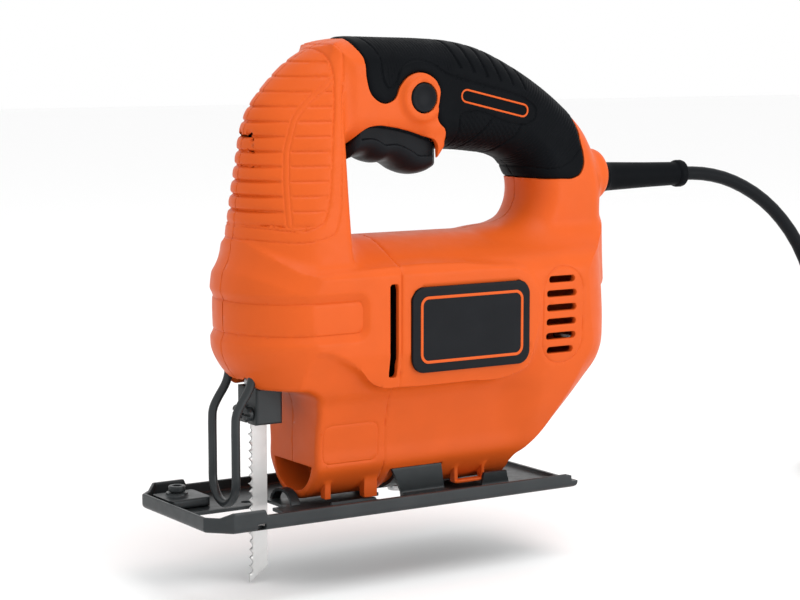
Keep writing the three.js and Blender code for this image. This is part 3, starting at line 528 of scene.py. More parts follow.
UNDERSIDE = [
    (-120, 52), (-120, 52), (-60, 52), (-48.6, 52.4), (-39.8, 51.7), (-35.1, 48.6), (-33.2, 42.9),
    (-33.2, 30), (-33.4, -20), (-33.4, -20), (240, -20), (240, -20), (240, 220), (240, 220), (-120, 220),
    (-120, 220)]
REAR = [
    (-120, -40), (-120, -40), (69.5, -40), (69.5, -40), (69.5, 6), (70.5, 9.2), (76, 12), (82, 15.8),
    (93, 26), (108, 41), (116.4, 50.4), (120, 59), (120.8, 70), (120.2, 84), (118.8, 100), (118, 114),
    (118, 220), (118, 220), (-120, 220), (-120, 220)]
BELT = [
    (-120, 69), (-60, 69), (-36, 69), (-28, 65.2), (-20.6, 60.4), (-13.5, 54.2), (-8, 52), (0, 51.6),
    (32.6, 51.3), (57.6, 52.2), (65.6, 55.9), (67.8, 62.6), (67.6, 90.8), (62, 97), (48, 99.5), (-60, 99.5),
    (-120, 99.5), (-120, 99.5)]
COLUMN_FRONT = [
    (-62.4, 80), (-62.4, 96), (-62, 104), (-60.9, 112), (-60.3, 120), (-59.2, 132), (-57.7, 144),
    (-55.8, 156.2), (-54.3, 162), (-51.4, 168), (-46.6, 174), (-40.8, 180), (-34, 185.8), (-21, 192.8),
    (-8, 195.9), (10, 196), (240, 196), (240, 196), (240, 80), (240, 80), (-62.4, 80)]
HANDLE = [
    (-24, 150.2), (-24, 150.2), (-9, 150.2), (15, 149.8), (30, 149), (43, 148.3), (57, 147), (68, 145),
    (76, 141), (80.6, 134), (81, 126), (77, 118.5), (70, 113.5), (58, 110), (46, 84), (46, 84), (122.4, 84),
    (122.4, 84), (122.4, 120), (122.4, 133), (119.5, 142.5), (111.8, 156.4), (99.3, 167.8), (84.4, 178),
    (70, 185.7), (56, 191.4), (44, 194), (28, 195.2), (11.6, 195.6), (-8, 196), (-24, 196), (-24, 196)]
GRIP_AREA = [
    (-12, 204), (-10.6, 193), (-8.2, 187), (-7.4, 179), (-4.9, 172.2), (1.5, 168.6), (6.6, 170.6), (9, 175.6),
    (13, 179.7), (18.8, 181.4), (24.6, 179.2), (28, 174), (27.2, 166), (28.6, 160.5), (32.4, 156.4),
    (33, 153), (31.8, 149), (30, 144.6), (28.8, 138), (28.8, 138), (64, 138), (69, 136.2), (78, 134.9),
    (94, 134.3), (99.4, 134.3), (103.6, 136), (105.6, 140), (105.3, 145), (104, 150), (103.6, 158),
    (105, 176), (80, 204), (80, 204)]
TRIGGER_ARCH = [
    (-13.6, 128), (-13.6, 128), (-14.2, 145.8), (-13, 150.4), (-10.4, 155.2), (-6.4, 158.6), (-1, 159.5),
    (5, 158.9), (15.4, 156.7), (24, 154), (31, 151.8), (35, 148.6), (35.6, 146), (35.6, 128), (35.6, 128)]

both_sides = lambda half: half + [(-u, v) for u, v in half[::-1] if u > 0.01]
front_section = table_of(spline(both_sides(FRONT_SECTION)))
rear_section = table_of(spline(both_sides(REAR_SECTION)))
nose_front = table_of(spline(NOSE_FRONT), margin=60)
underside = table_of(spline(UNDERSIDE))
rear_end = table_of(spline(REAR))
belt_area = table_of(spline(BELT))
column_front = table_of(spline(COLUMN_FRONT), margin=40)
handle_side = table_of(spline(HANDLE), margin=30)
grip_area = table_of(spline(GRIP_AREA), margin=30)
trigger_arch = table_of(spline(TRIGGER_ARCH), margin=60)

COLUMN_HEIGHTS = [80, 97, 101, 105, 109, 114, 126, 138, 150, 162, 172, 180, 187, 200]
COLUMN_HALF_WIDTHS = [34, 33.6, 32.6, 31.2, 30.2, 29.4, 27.6, 26, 24.4, 22.9, 21.6, 20.4, 19.2, 18.5]
COLUMN_DEPTHS = [32, 32, 31.5, 31, 30.5, 30, 33, 37, 40, 38, 32, 24, 17, 11]


def body_shape(x, y, z):
    share = between(x, 56, 78)
    section = front_section(y, z) * (1 - share) + rear_section(y, z) * share
    belt = meet(np.abs(y) - 34.5, belt_area(x, z), 2.5)
    shoulder = rear_section(y, z) - 1.5
    loaf = join(section, np.maximum(belt, shoulder), 3)
    loaf = np.maximum(loaf, inflate(nose_front(x, z), y, 35.2, 32))
    loaf = np.maximum(loaf, inflate(rear_end(x, z), y, 34.4, 30))
    return meet(loaf, underside(x, z), 2.2)


def column_shape(x, y, z):
    half_width = np.interp(z, COLUMN_HEIGHTS, COLUMN_HALF_WIDTHS)
    depth = np.interp(z, COLUMN_HEIGHTS, COLUMN_DEPTHS)
    front = inflate(column_front(x, z), y, half_width, depth)
    rear = inflate(x + 15.6, y, half_width + 0.3, 8)
    return meet(meet(front, rear, 2), 90 - z, 3)


def handle_shape(x, y, z):
    outline = handle_side(x, z)
    crown = inflate(outline, y, 18.5, 13)
    return np.maximum(crown, -20 - x)


CORD_BOSS_RADIUS = 12
CORD_BOSS_Z = 134.1
CORD_BOSS_END = 127


def cord_boss(x, y, z):
    barrel = np.hypot(y, z - CORD_BOSS_Z) - CORD_BOSS_RADIUS
    return meet(barrel, np.maximum(x - CORD_BOSS_END, 108 - x), 4.5)


def arch_end(x, y, z):
    """A lip on each side that closes the trigger arch at its rear."""
    lip = meet(rounded_box(x, z, (22, 145), (33, 160), 2), 0.8 * (x - 30) - 0.6 * (z - 146), 1)
    return meet(lip, np.abs(y) - 17.7, 3)


def outer_shape(x, y, z):
    """The housing with its grip, before any opening or groove."""
    upper = join(column_shape(x, y, z), handle_shape(x, y, z), 5)
    upper = join(upper, arch_end(x, y, z), 3)
    upper = np.maximum(upper, column_front(x, z))
    whole = join(body_shape(x, y, z), upper, 3 + 4 * between(x, -22, -10))
    return join(whole, cord_boss(x, y, z), 3)


# ---- Housing details ----

LOCK_BUTTON = (19.9, 170.8)
BADGE_LOW, BADGE_HIGH = (4.3, 57), (64.3, 93)
RIB_LOWEST, RIB_PITCH, RIB_COUNT = 119.8, 6.0, 13
VENT_HEIGHTS = [61 + 6.2 * k for k in range(6)]
HOUSING_SCREWS = [((-24, 170), 17.5), ((-24, 131), 17), ((-20, 34), 18.5), ((62, 26), 18.5), ((106, 62), 31),
                  ((98, 120), 17)]
FEET = [((-27.4, 4.2), (-24.6, 12), 15), ((-8.2, 3.2), (-1.6, 12), 15), ((38, 4), (39.6, 12), 15),
        ((52.6, 4), (54.2, 12), 15), ((38, 4), (54.2, 5.2), 15.5)]
RIB_PANEL = [
    (-140, 119.6), (-140, 119.6), (-60, 119.4), (-37.5, 119.2), (-33.6, 121.3), (-31.2, 126.5), (-28, 142.4),
    (-26, 156.5), (-23.7, 170.6), (-22.8, 185.5), (-24, 191), (-27.7, 195), (-32, 215), (-32, 215),
    (-140, 215), (-140, 215)]
PANEL_RIM = [
    (-140, 114.2), (-140, 114.2), (-60, 114.2), (-36, 114.3), (-29, 116.8), (-26.3, 122.8), (-24.2, 135.8),
    (-22.2, 154.2), (-19.8, 170.6), (-17.9, 182.3), (-18.3, 190.9), (-22.5, 196), (-26, 215), (-26, 215),
    (-140, 215), (-140, 215)]
PANEL_STRIP = [
    (-23.5, 178.8), (-28.6, 174.6), (-36.4, 168.2), (-40.8, 162.7), (-43.2, 156.3), (-44.9, 150.4),
    (-45.7, 143.8), (-46.3, 138), (-46.7, 131.6), (-47.1, 120.4)]

rib_panel = table_of(spline(RIB_PANEL))
panel_rim = table_of(spline(PANEL_RIM))
panel_strip = table_of(spline(PANEL_STRIP, closed=False), closed=False, margin=60)


def body_lines(x, y, z):
    """The fine grooves: (distance, depth, half width) of each."""
    ribs = rib_panel(x, z)
    strip = panel_strip(x, z)
    turn = (z - RIB_LOWEST) / RIB_PITCH
    rib = RIB_PITCH * np.abs(turn - np.clip(np.round(turn), 0, RIB_COUNT - 1))
    front = between(-x, 44, 57)
    on_panel = between(-ribs, 0.5, 1.4) * between(strip, 1.2, 2.0)
    band = rounded_box(x, z, (-150, 75.6), (-19.1, 89.3), 2.6)
    low = z < 116
    return [
        (rib, (0.5 + 0.75 * front) * on_panel, 0.5 + 0.2 * front),
        (ribs, 0.5 * (z > 117.5), 0.42),
        (panel_rim(x, z), 0.42 * (z > 112), 0.36),
        (strip - 0.95, 0.3 * (ribs < -0.6), 0.34),
        (band, 0.55 * low, 0.45),
        (x - SEAM_X, 0.5 * low, 0.36),
        (rounded_box(x, z, (-30.6, 19.7), (-3.7, 36), 3.6), 0.3 * low, 0.34),
        (rounded_box(x, z, (73, 55), (94.5, 97.5), 10.6), 0.36 * low, 0.34),
    ]


def relief(x, y, z):
    """How far grooves and hollows go in from the plain shape."""
    band = rounded_box(x, z, (-150, 75.6), (-19.1, 89.3), 2.6)
    total = 1.3 * (1 - between(band, 0.4, 3.8)) * (z < 116)
    turn = (z - RIB_LOWEST) / RIB_PITCH
    on_front = between(-x, 44, 57) * between(-rib_panel(x, z), 0, 2) * between(z, 116, 119)
    total = total + 0.18 * (1 + np.cos(2 * np.pi * turn)) * on_front
    for distance, depth, half_width in body_lines(x, y, z):
        total = total + line_groove(distance, depth, half_width)
    return total


def arch_opening(x, y, z):
    """The trigger arch: longer in the middle than at the sides, where the lips close it."""
    rear = 32.4 - 4 * between(np.abs(y), 9, 15)
    return meet(trigger_arch(x, z), x - rear, 3)


def through_openings(x, y, z):
    """What is cut through the walls: slots, trigger arch, blade well, chip chute and cord hole."""
    side = 25 - np.abs(y)
    exhaust = rounded_box(x, z, (-6, 56), (-2.1, 95), 1.1)
    slots = np.minimum.reduce([
        rounded_box(x, z, (75 + (abs(k - 2.5) > 2), h - 1.45), (90.8 - (abs(k - 2.5) > 2), h + 1.45), 1.35)
        for k, h in enumerate(VENT_HEIGHTS)])
    result = np.maximum(np.minimum(exhaust, slots), side)
    result = np.minimum(result, arch_opening(x, y, z))
    well = np.maximum(rounded_box(x, y, (-59.6, -10), (-40.5, 10), 3), np.maximum(44 - z, z - 72.5))
    mouth = np.maximum(rounded_box(y, z, (-15.6, 6.4), (15.6, 40), 14.5), z - 18.5)
    chute = np.maximum(mouth, x + 18)
    cord_hole = np.maximum(np.hypot(y, z - 133) - 5.6, 112 - x)
    return np.minimum.reduce([result, well, chute, cord_hole])


def trigger_room(x, y, z):
    """Where the trigger moves behind the arch's edges."""
    return np.maximum(np.abs(y) - 15.2, rounded_box(x, z, (-9.5, 144), (34.4, 163), 1))


def lock_boss(x, y, z):
    reach = np.hypot(x - LOCK_BUTTON[0], z - LOCK_BUTTON[1])
    boss = meet(reach - 9.5 - 0.35 * np.maximum(y + 20.2, 0), np.maximum(-20.3 - y, y + 8), 0.8)
    return boss, reach


def feet(x, y, z):
    """Small feet under the left side. The right side has none, so that the sole can tilt that way."""
    blocks = [(rounded_box(x, z, low, high, 0.5), reach) for low, high, reach in FEET]
    return np.minimum.reduce([np.maximum(block, np.abs(y + reach) - 1.9) for block, reach in blocks])


def saddle_groove(x, y, z):
    """Room for the sole's cradle round the underside, and for its swing towards the right."""
    reach = np.hypot(y, z - TILT_AXIS_Z)
    left, right = math.radians(-155), math.radians(24)
    below_left = -math.sin(left) * y + math.cos(left) * (z - TILT_AXIS_Z)
    below_right = math.sin(right) * -y + math.cos(right) * (z - TILT_AXIS_Z)
    sector = np.maximum(-below_left, below_right)
    return np.maximum(np.maximum(np.abs(x - 17) - 13.4, 18.1 - reach), sector)


def saddle_backing(x, y, z, outer):
    """Solid wall behind the cradle's groove."""
    reach = np.hypot(y, z - TILT_AXIS_Z)
    block = np.maximum(np.abs(x - 17) - 15.4, np.abs(z - 20) - 16)
    return np.maximum(np.maximum(15.6 - reach, outer + 0.3), block)


def plunger_room(x, y, z):
    """Where the plunger bar rises inside the column."""
    return np.maximum(rounded_box(x, y, (-53.8, -6.2), (-46.2, 6.2), 0.5), np.abs(z - 120) - 37.5)


def housing_half(side):
    """The field of one half of the housing; side is -1 for the left and 1 for the right."""
    def field(x, y, z):
        outer = outer_shape(x, y, z)
        plain = outer + relief(x, y, z)
        shell = plain
        grip = grip_area(x, z)
        hollow = outer + WALL + 1.9 * between(-x, 0, 12) + GRIP_SKIN * between(-grip, -2, 0.5)
        if side < 0:
            boss, reach = lock_boss(x, y, z)
            shell = join(shell, boss, 2.2)
            shell = join(shell, feet(x, y, z), 0.8)
        shell = np.maximum(shell, -np.maximum(grip - 0.15, -(outer + GRIP_SKIN + 0.15)))
        badge = np.maximum(rounded_box(x, z, BADGE_LOW, BADGE_HIGH, 6) - 0.15, 33.6 - np.abs(y))
        shell = np.maximum(shell, -badge)
        shell = meet(shell, -through_openings(x, y, z), 0.35)
        shell = np.maximum(shell, -hollow)
        shell = np.minimum(shell, saddle_backing(x, y, z, outer))
        shell = np.maximum(shell, -saddle_groove(x, y, z))
        shell = np.maximum(shell, -trigger_room(x, y, z))
        shell = np.maximum(shell, -np.maximum(plunger_room(x, y, z), plain + 0.5))
        if side < 0:
            shell = meet(shell, 6.5 - reach, 0.5)
        else:
            for (u, v), seat in HOUSING_SCREWS:
                reach = np.hypot(x - u, z - v)
                post = np.maximum(reach - 5.4, np.maximum(1 - y, y - seat - 0.3))
                shell = np.minimum(shell, np.maximum(post, -np.maximum(grip - 0.15, -(outer + 2.55))))
                shell = meet(shell, -np.maximum(reach - 3.8, seat - 2.6 - y), 0.3)
                shell = np.maximum(shell, 1.7 - reach)
        return np.maximum(shell, -side * y + SEAM_HALF)
    return field


def housing_detail(x, y, z):
    """How long an edge may be at a point: short beside grooves and openings."""
    result = np.full(np.shape(x), 4.0)
    for distance, depth, half_width in body_lines(x, y, z):
        near = (np.abs(distance) < 1.5 * half_width + 0.5) & (depth > 0.08)
        result = np.where(near, 0.62, result)
    outer = outer_shape(x, y, z)
    near = (np.abs(through_openings(x, y, z)) < 1.0) | (np.abs(grip_area(x, z)) < 1.0) | (np.abs(y) < 0.8)
    result = np.where(near, np.minimum(result, 0.8), result)
    return np.where(outer < -1.2, 4.0, result)


def make_housing(material):
    for side, name in ((-1, "left"), (1, "right")):
        low = (-72, -38, -2) if side < 0 else (-72, -2, -2)
        high = (138, 2, 200) if side < 0 else (138, 38, 200)
        piece = solid_piece(
            f"housing_{name}_shell", housing_half(side), low, high, 1.3, material, "root",
            housing_detail)
        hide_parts(f"housing_{name}")


# ---- Soft grip ----

GRIP_RAISE = 0.45
GRIP_LIP = [
    (-3.6, 206), (-3.6, 206), (-3.2, 195.1), (-0.7, 187.7), (-0.1, 181.1), (1.2, 177), (3.4, 174.6),
    (6, 176.3), (9.1, 182.9), (13, 185.6), (18, 186.6), (24, 185.2), (31.5, 180.9), (41.6, 177.8),
    (62.1, 172.9), (74.5, 168.6), (78.6, 164.9), (78.2, 161.2), (74.2, 158.6), (69.7, 158.4), (42.6, 164.2),
    (39.6, 163.2), (39.1, 155.9), (38.7, 149.9)]
GRIP_TOP = [
    (-3.6, 206), (-3.6, 206), (-3.2, 195.1), (-0.7, 187.7), (-0.1, 181.1), (1.2, 177), (3.4, 174.6),
    (6, 176.3), (9.1, 182.9), (13, 185.6), (18, 186.6), (24, 185.2), (31.5, 180.9), (41.6, 177.8),
    (62.1, 172.9), (74.5, 168.6), (78.6, 164.9), (78.2, 161.2), (74.2, 158.6), (72, 158), (66, 150),
    (62, 141), (62, 141), (92.2, 139.4), (98, 142), (105, 146), (112, 150), (112, 206), (112, 206)]
GRIP_HATCH = [
    (39.6, 163.2), (42.6, 164.2), (69.7, 158.4), (72, 158), (66, 150), (60, 142), (60, 142), (39.4, 146),
    (39.4, 146)]
GRIP_CUTS = [
    [(55.6, 161.2), (52, 157), (46.8, 151.6), (42.6, 144)],
    [(71.2, 158.4), (68, 153.6), (62.6, 148), (57, 139)],
    [(64, 141.2), (78, 139.8), (92.2, 139.1), (99, 142.8), (103, 147)]]
GRIP_ARCS = [
    [(36.4 + 7.1 * k, 196 - 0.16 * k * k - 1.4 * k), (36.8 + 7.1 * k, 190 - 1.9 * k),
     (39.3 + 6.9 * k, 183.1 - 1.9 * k)]
    for k in range(6)]
CAPSULE = [(42.3, 171.2), (71.7, 164.6)]
CAPSULE_HALF = 2.6


def open_line(points):
    return table_of(spline(points, closed=False), closed=False, margin=30)


grip_lip = open_line(GRIP_LIP)
grip_top = table_of(spline(GRIP_TOP))
grip_hatch = table_of(spline(GRIP_HATCH))
grip_cuts = [open_line(points) for points in GRIP_CUTS]
grip_arcs = [open_line(points) for points in GRIP_ARCS]
capsule_middle = open_line(CAPSULE)


def fine_ribs(x, z):
    """Fine moulded ribs across the handle, and how strong they are at each place."""
    ahead = 0.5 + 0.5 * np.cos(2 * np.pi * (x + 0.12 * (z - 190)) / 1.5)
    behind = 0.5 + 0.5 * np.cos(2 * np.pi * (0.72 * x - 0.69 * z) / 1.5)
    rising = np.abs(np.sin(np.pi * (0.75 * x + 0.66 * z) / 1.9))
    falling = np.abs(np.sin(np.pi * (0.75 * x - 0.66 * z) / 1.9))
    crossed = np.minimum(rising, falling)
    on_top = between(-grip_top(x, z), 0.7, 1.6)
    on_front = on_top * between(-x, -36.5, -34)
    on_rear = on_top * between(x, 71, 73.5)
    on_hatch = between(-grip_hatch(x, z), 0.7, 1.3)
    depth = 0.2 * ahead * on_front + 0.2 * behind * on_rear + 0.24 * (1 - crossed) * on_hatch
    return depth, on_front + on_rear + on_hatch


def grip_lines(x, z):
    """The grip's grooves: (distance, depth, half width) of each."""
    rows = [(grip_lip(x, z), 0.5, 0.45)]
    rows += [(line(x, z), 0.45, 0.4) for line in grip_cuts]
    rows += [(line(x, z), 0.75, 0.6) for line in grip_arcs]
    return rows


def grip_half(side):
    def field(x, y, z):
        outer = outer_shape(x, y, z)
        edge = grip_area(x, z)
        surface = outer - GRIP_RAISE * between(-edge, 0, 2.2)
        in_capsule = between(-np.abs(capsule_middle(x, z)), -CAPSULE_HALF, -CAPSULE_HALF + 0.5)
        depth = fine_ribs(x, z)[0] + 0.3 * in_capsule
        for distance, groove, half_width in grip_lines(x, z):
            depth = depth + line_groove(distance, groove, half_width)
        skin = meet(surface + depth, edge + 0.1, 0.9)
        skin = np.maximum(skin, -(outer + GRIP_SKIN))
        skin = np.maximum(skin, np.minimum(9 - np.hypot(y, z - 134.5), x - 108))
        skin = meet(skin, -arch_opening(x, y, z), 0.4)
        skin = np.maximum(skin, -trigger_room(x, y, z))
        return np.maximum(skin, -side * y + SEAM_HALF)
    return field


def grip_detail(x, y, z):
    edge = grip_area(x, z)
    result = np.where((edge > -1.5) | (np.abs(y) < 0.8), 0.8, 3.0)
    for distance, _, half_width in grip_lines(x, z):
        result = np.where(np.abs(distance) < 1.4 * half_width + 0.4, 0.55, result)
    result = np.where(fine_ribs(x, z)[1] > 0.05, 0.5, result)
    result = np.where(np.abs(capsule_middle(x, z)) < CAPSULE_HALF + 0.8, 0.7, result)
    return np.where(outer_shape(x, y, z) < -1.4, 4.0, result)


def make_grips(rubber, orange):
    for side, name in ((-1, "left"), (1, "right")):
        low = (-14, -22 if side < 0 else -2, 130)
        high = (120, 2 if side < 0 else 22, 200)
        piece = solid_piece(
            f"grip_{name}_skin", grip_half(side), low, high, 1.2, rubber, "root", grip_detail)
        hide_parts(f"grip_{name}")

        def outline(x, y, z, side=side):
            ring = np.abs(capsule_middle(x, z) - CAPSULE_HALF) - 0.42
            height = np.abs(outer_shape(x, y, z) - GRIP_RAISE + 0.35) - 0.5
            return np.maximum(meet(ring, height, 0.25), 5 - side * y)

        solid_piece(
            f"grip_{name}_outline", outline, (36, low[1] if side < 0 else 5, 158),
            (78, -5 if side < 0 else 22, 178), 0.6, orange, "root")


# ---- Trigger, lock button and badges ----

TRIGGER_HALF = 14.6
TRIGGER_PAD = [
    (-12.4, 176), (-12.4, 176), (-12.2, 145.4), (-11.4, 144.6), (-7.7, 145.4), (-2.4, 146), (0.4, 144.4),
    (4.6, 143.2), (9.1, 143.4), (12.7, 142.1), (17.2, 139.4), (22.6, 137.8), (26.3, 137.9), (30.8, 139.3),
    (34.2, 141.8), (35.2, 145), (35.2, 176), (35.2, 176)]
trigger_pad = table_of(spline(TRIGGER_PAD), margin=20)


def trigger_shape(x, y, z):
    pad = trigger_pad(x, z)
    body = inflate(pad, y, TRIGGER_HALF, 7.6)
    plate = between(-pad, 7.4, 8.3) * (z > 146)
    body = body + 1.2 * plate
    finger_piece = meet(body, arch_opening(x, y, z) + 0.55, 0.6)
    core = np.maximum(rounded_box(x, z, (-8.8, 150), (27, 170), 0.5), z - 162.3 + 0.12 * (x + 8))
    return np.minimum(finger_piece, np.maximum(core, np.abs(y) - 13))


def make_trigger(material):
    piece = solid_piece(
        "trigger_finger_piece", trigger_shape, (-14, -16, 136), (37, 16, 164), 0.9, material, "trigger_lever",
        lambda x, y, z: np.full(np.shape(x), 1.0), rounds=1)
    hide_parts("trigger")


def ring_mesh(rings):
    """Faces between rings of the same number of points, with both ends closed by a fan."""
    count = len(rings[0])
    points = np.concatenate(rings)
    faces = []
    index = np.arange(count)
    after = (index + 1) % count
    for k in range(len(rings) - 1):
        a, b = k * count, (k + 1) * count
        faces.append(np.stack([a + index, a + after, b + after], 1))
        faces.append(np.stack([a + index, b + after, b + index], 1))
    first, last = len(points), len(points) + 1
    points = np.concatenate([points, [rings[0].mean(0), rings[-1].mean(0)]])
    end = (len(rings) - 1) * count
    faces.append(np.stack([after, index, np.full(count, first)], 1))
    faces.append(np.stack([end + index, end + after, np.full(count, last)], 1))
    return points, np.concatenate(faces)


def turned_piece(name, axis, centre, profile, material, body, segments=64, smooth_angle=35):
    """A turned piece: profile holds (radius, distance along the axis), lowest distance first."""
    angle = 2 * np.pi * np.arange(segments) / segments
    across, up, along = {"x": (1, 2, 0), "y": (2, 0, 1), "z": (0, 1, 2)}[axis]
    rings = []
    for radius, distance in profile:
        ring = np.zeros((segments, 3))
        ring[:, across] = radius * np.cos(angle)
        ring[:, up] = radius * np.sin(angle)
        ring[:, along] = distance
        rings.append(ring + np.array(centre, float))
    points, faces = ring_mesh(rings)
    return mesh_object(name, points, faces, material, body, smooth_angle)


def make_lock_button(material):
    profile = [
        (0.4, -9), (2, -9), (2, -14.2), (6, -14.2), (6.2, -14.5), (6.2, -19.6), (6.12, -20), (5.9, -20.35),
        (5.55, -20.55), (5.2, -20.5), (4.6, -20.15), (3.6, -19.75), (2.4, -19.5), (1.2, -19.4), (0.3, -19.38)]
    button = turned_piece(
        "lock_button_cap", "y", (LOCK_BUTTON[0], 0, LOCK_BUTTON[1]), profile[::-1], material, "lock_on")
    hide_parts("lock_button")


def make_badges(black, orange):
    for side, name in ((-1, "left"), (1, "right")):
        near, far = (-35.3, -33.9) if side < 0 else (33.9, 35.3)

        def plate(x, y, z, near=near, far=far):
            return meet(rounded_box(x, z, BADGE_LOW, BADGE_HIGH, 6), np.maximum(near - y, y - far), 0.4)

        def border(x, y, z, side=side):
            ring = np.abs(rounded_box(x, z, (8.8, 61.5), (60, 88.5), 3.4)) - 0.62
            return meet(ring, np.abs(y - side * 35.3) - 0.25, 0.12)

        low, high = (2, min(near, far) - 1.2, 55), (67, max(near, far) + 1.2, 95)
        piece = solid_piece(f"badge_{name}_plate", plate, low, high, 0.8, black, "root")
        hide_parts(f"badge_{name}")
        solid_piece(f"badge_{name}_border", border, (7, low[1], 60), (62, high[1], 90), 0.4, orange, "root")


# ---- Sole ----

SOLE_OUTLINE = [(90, -36.5), (90, 36.5), (-81, 36.5), (-90, 27.5), (-90, -27.5), (-81, -36.5)]
SHEET = 1.6
RIM_HEIGHTS = [
    (-92, 6.3), (-84.6, 6.3), (-80.6, 8.6), (-66.6, 8.6), (-65.6, 6.3), (84, 6.3), (88.4, 5.2), (92, 2.6)]
sole_outline = table_of(SOLE_OUTLINE, margin=12)


def sole_shape(x, y, z):
    """The pressed plate: a shallow tray with a bent-up rim, openings, tabs and a half-round hood."""
    outline = sole_outline(x, y)
    outer = meet(outline, -z, 2)
    inner = meet(outline + SHEET, SHEET - z, 0.7)
    rim_top = np.interp(x, [u for u, _ in RIM_HEIGHTS], [v for _, v in RIM_HEIGHTS])
    tray = meet(np.maximum(outer, -inner), z - rim_top, 0.5)
    low_rear = np.maximum(x - 91, np.maximum(86.9 - x, z - 3))
    tray = np.where(x > 86.9, np.minimum(np.maximum(tray, z - 3), np.maximum(low_rear, tray)), tray)
    tabs = np.minimum(
        np.maximum(rounded_box(x, np.abs(y), (-24, 14.7), (0, 16.2), 0.5), np.maximum(-z + 1, z - 2.6)),
        np.maximum(np.maximum(np.abs(np.abs(y) - 18.1) - 0.75, z - 7.4),
                   np.maximum(50.5 + 0.25 * z - x, x - 66 + 0.25 * z)))
    tabs = np.maximum(tabs, 1 - z)
    hood = np.hypot((y - 1) / 1.0, z / 0.78) - 9.5
    hood_shell = np.maximum(hood, -np.maximum(hood + 1.5, -35.8 - x))
    hood_wall = np.maximum(hood_shell, np.maximum(-38.5 - x, x + 34.2))
    whole = join(np.minimum(tray, np.maximum(hood_wall, -z)), tabs, 0.5)
    blade_opening = np.minimum(
        rounded_box(x, y, (-83.5, -26), (-47, 2.4), 1), rounded_box(x, y, (-60, -26), (-34, -20.5), 0.8))
    window = np.minimum(
        rounded_box(x, y, (-2, -16.4), (32, -5), 0.8), rounded_box(x, y, (6.5, -16.4), (32, 8), 0.8))
    hood_floor = np.minimum(x + 41, SHEET - z)
    hood_room = np.maximum(np.maximum(hood + 1.5, hood_floor), np.maximum(-48 - x, x + 35.8))
    fence_hole = np.hypot(x + 50.5, y - 9) - 2.3
    fence_slot = rounded_box(x, z, (-70, 0.4), (-66.3, 2.9), 0.3)
    for opening in (np.maximum(np.minimum(blade_opening, window), z - 4), np.maximum(hood_room, z - 8),
                    np.maximum(fence_hole, z - 4), np.maximum(fence_slot, 33 - np.abs(y))):
        whole = meet(whole, -opening, 0.25)
    return whole


def saddle_shape(x, y, z):
    """The cradle round the underside, with a flat cheek each side that stands on the plate."""
    reach = np.hypot(y, z - TILT_AXIS_Z)
    front = 9.5 - 5.2 * np.clip((z - 3) / 11.4, 0, 1)
    rear = 31 - 1.6 * np.clip((z - 3) / 11.4, 0, 1)
    strip = np.maximum(np.maximum(reach - 19.9, 18.4 - reach), z - 14.5)
    strip = np.maximum(strip, np.maximum(8 - x, x - 30))
    cheek = np.maximum(np.abs(np.abs(y) - 18.5) - 0.8, np.maximum(SHEET + 0.2 - z, z - 14.4))
    cheek = np.maximum(cheek, 18.4 - reach)
    foot = np.maximum(np.abs(np.abs(y) - 20.4) - 3, np.abs(z - 2.6) - 0.75)
    sides = np.maximum(join(cheek, foot, 0.8), np.maximum(front - x, x - rear))
    whole = join(strip, sides, 0.4)
    slot = np.maximum(np.abs(x - 19) - 3.2, np.maximum(y - 4, -16.8 - y))
    return meet(whole, -np.maximum(slot, z - 12.8), 0.3)


FENCE_SCREW = (-78, 19)


def fence_clamp_shape(x, y, z):
    block = np.maximum(
        rounded_box(x, y, (-85.8, 9), (-67, 27.4), 2.2), rounded_box(y, z, (9, 1.9), (27.4, 5.8), 1))
    tunnel = rounded_box(y, z, (13.8, -3), (24.2, 3.7), 0.6)
    boss = np.maximum(np.hypot(x - FENCE_SCREW[0], y - FENCE_SCREW[1]) - 4.6, np.maximum(5 - z, z - 7.2))
    hole = np.hypot(x - FENCE_SCREW[0], y - FENCE_SCREW[1]) - 2.4
    return meet(join(meet(block, -tunnel, 0.3), boss, 0.8), -hole, 0.3)


def fence_screw_shape(x, y, z):
    reach = np.hypot(x - FENCE_SCREW[0], y - FENCE_SCREW[1])
    head = meet(reach - 3.6, np.maximum(7.5 - z, z - 10), 0.5)
    shank = np.maximum(reach - 2, np.maximum(3.9 - z, z - 8))
    u, v = 0.5 * (x - FENCE_SCREW[0]), 0.866 * (y - FENCE_SCREW[1])
    socket = np.maximum(np.abs(x - FENCE_SCREW[0]), np.maximum(np.abs(u + v), np.abs(u - v))) - 1.8
    return meet(np.minimum(head, shank), -np.maximum(socket, 8 - z), 0.2)


def fine_edges(length):
    return lambda x, y, z: np.full(np.shape(x), length)


def make_sole(coated):
    sole = solid_piece("sole_tray", sole_shape, (-93, -39, -1.5), (93, 39, 10.5), 0.85, coated, "sole")
    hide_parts("sole_plate")
    saddle = solid_piece("sole_cradle", saddle_shape, (2, -25, 1), (33, 25, 16), 0.6, coated, "sole")
    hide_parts("sole_saddle")
    clamp = solid_piece("fence_clamp_block", fence_clamp_shape, (-88, 7, 0), (-65, 30, 9), 0.6, coated,
                        "sole")
    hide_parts("fence_clamp")
    screw = solid_piece("fence_clamp_knob", fence_screw_shape, (-83, 14, 3), (-73, 24, 11), 0.35, coated,
                        "sole")
    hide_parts("fence_clamp_screw")


# ---- Blade, its clamp and the guard ----

TOOTH_PITCH = 3.5
CLAMP_SCREW_Z = 41.5
CLAMP_SCREW_Y = 4


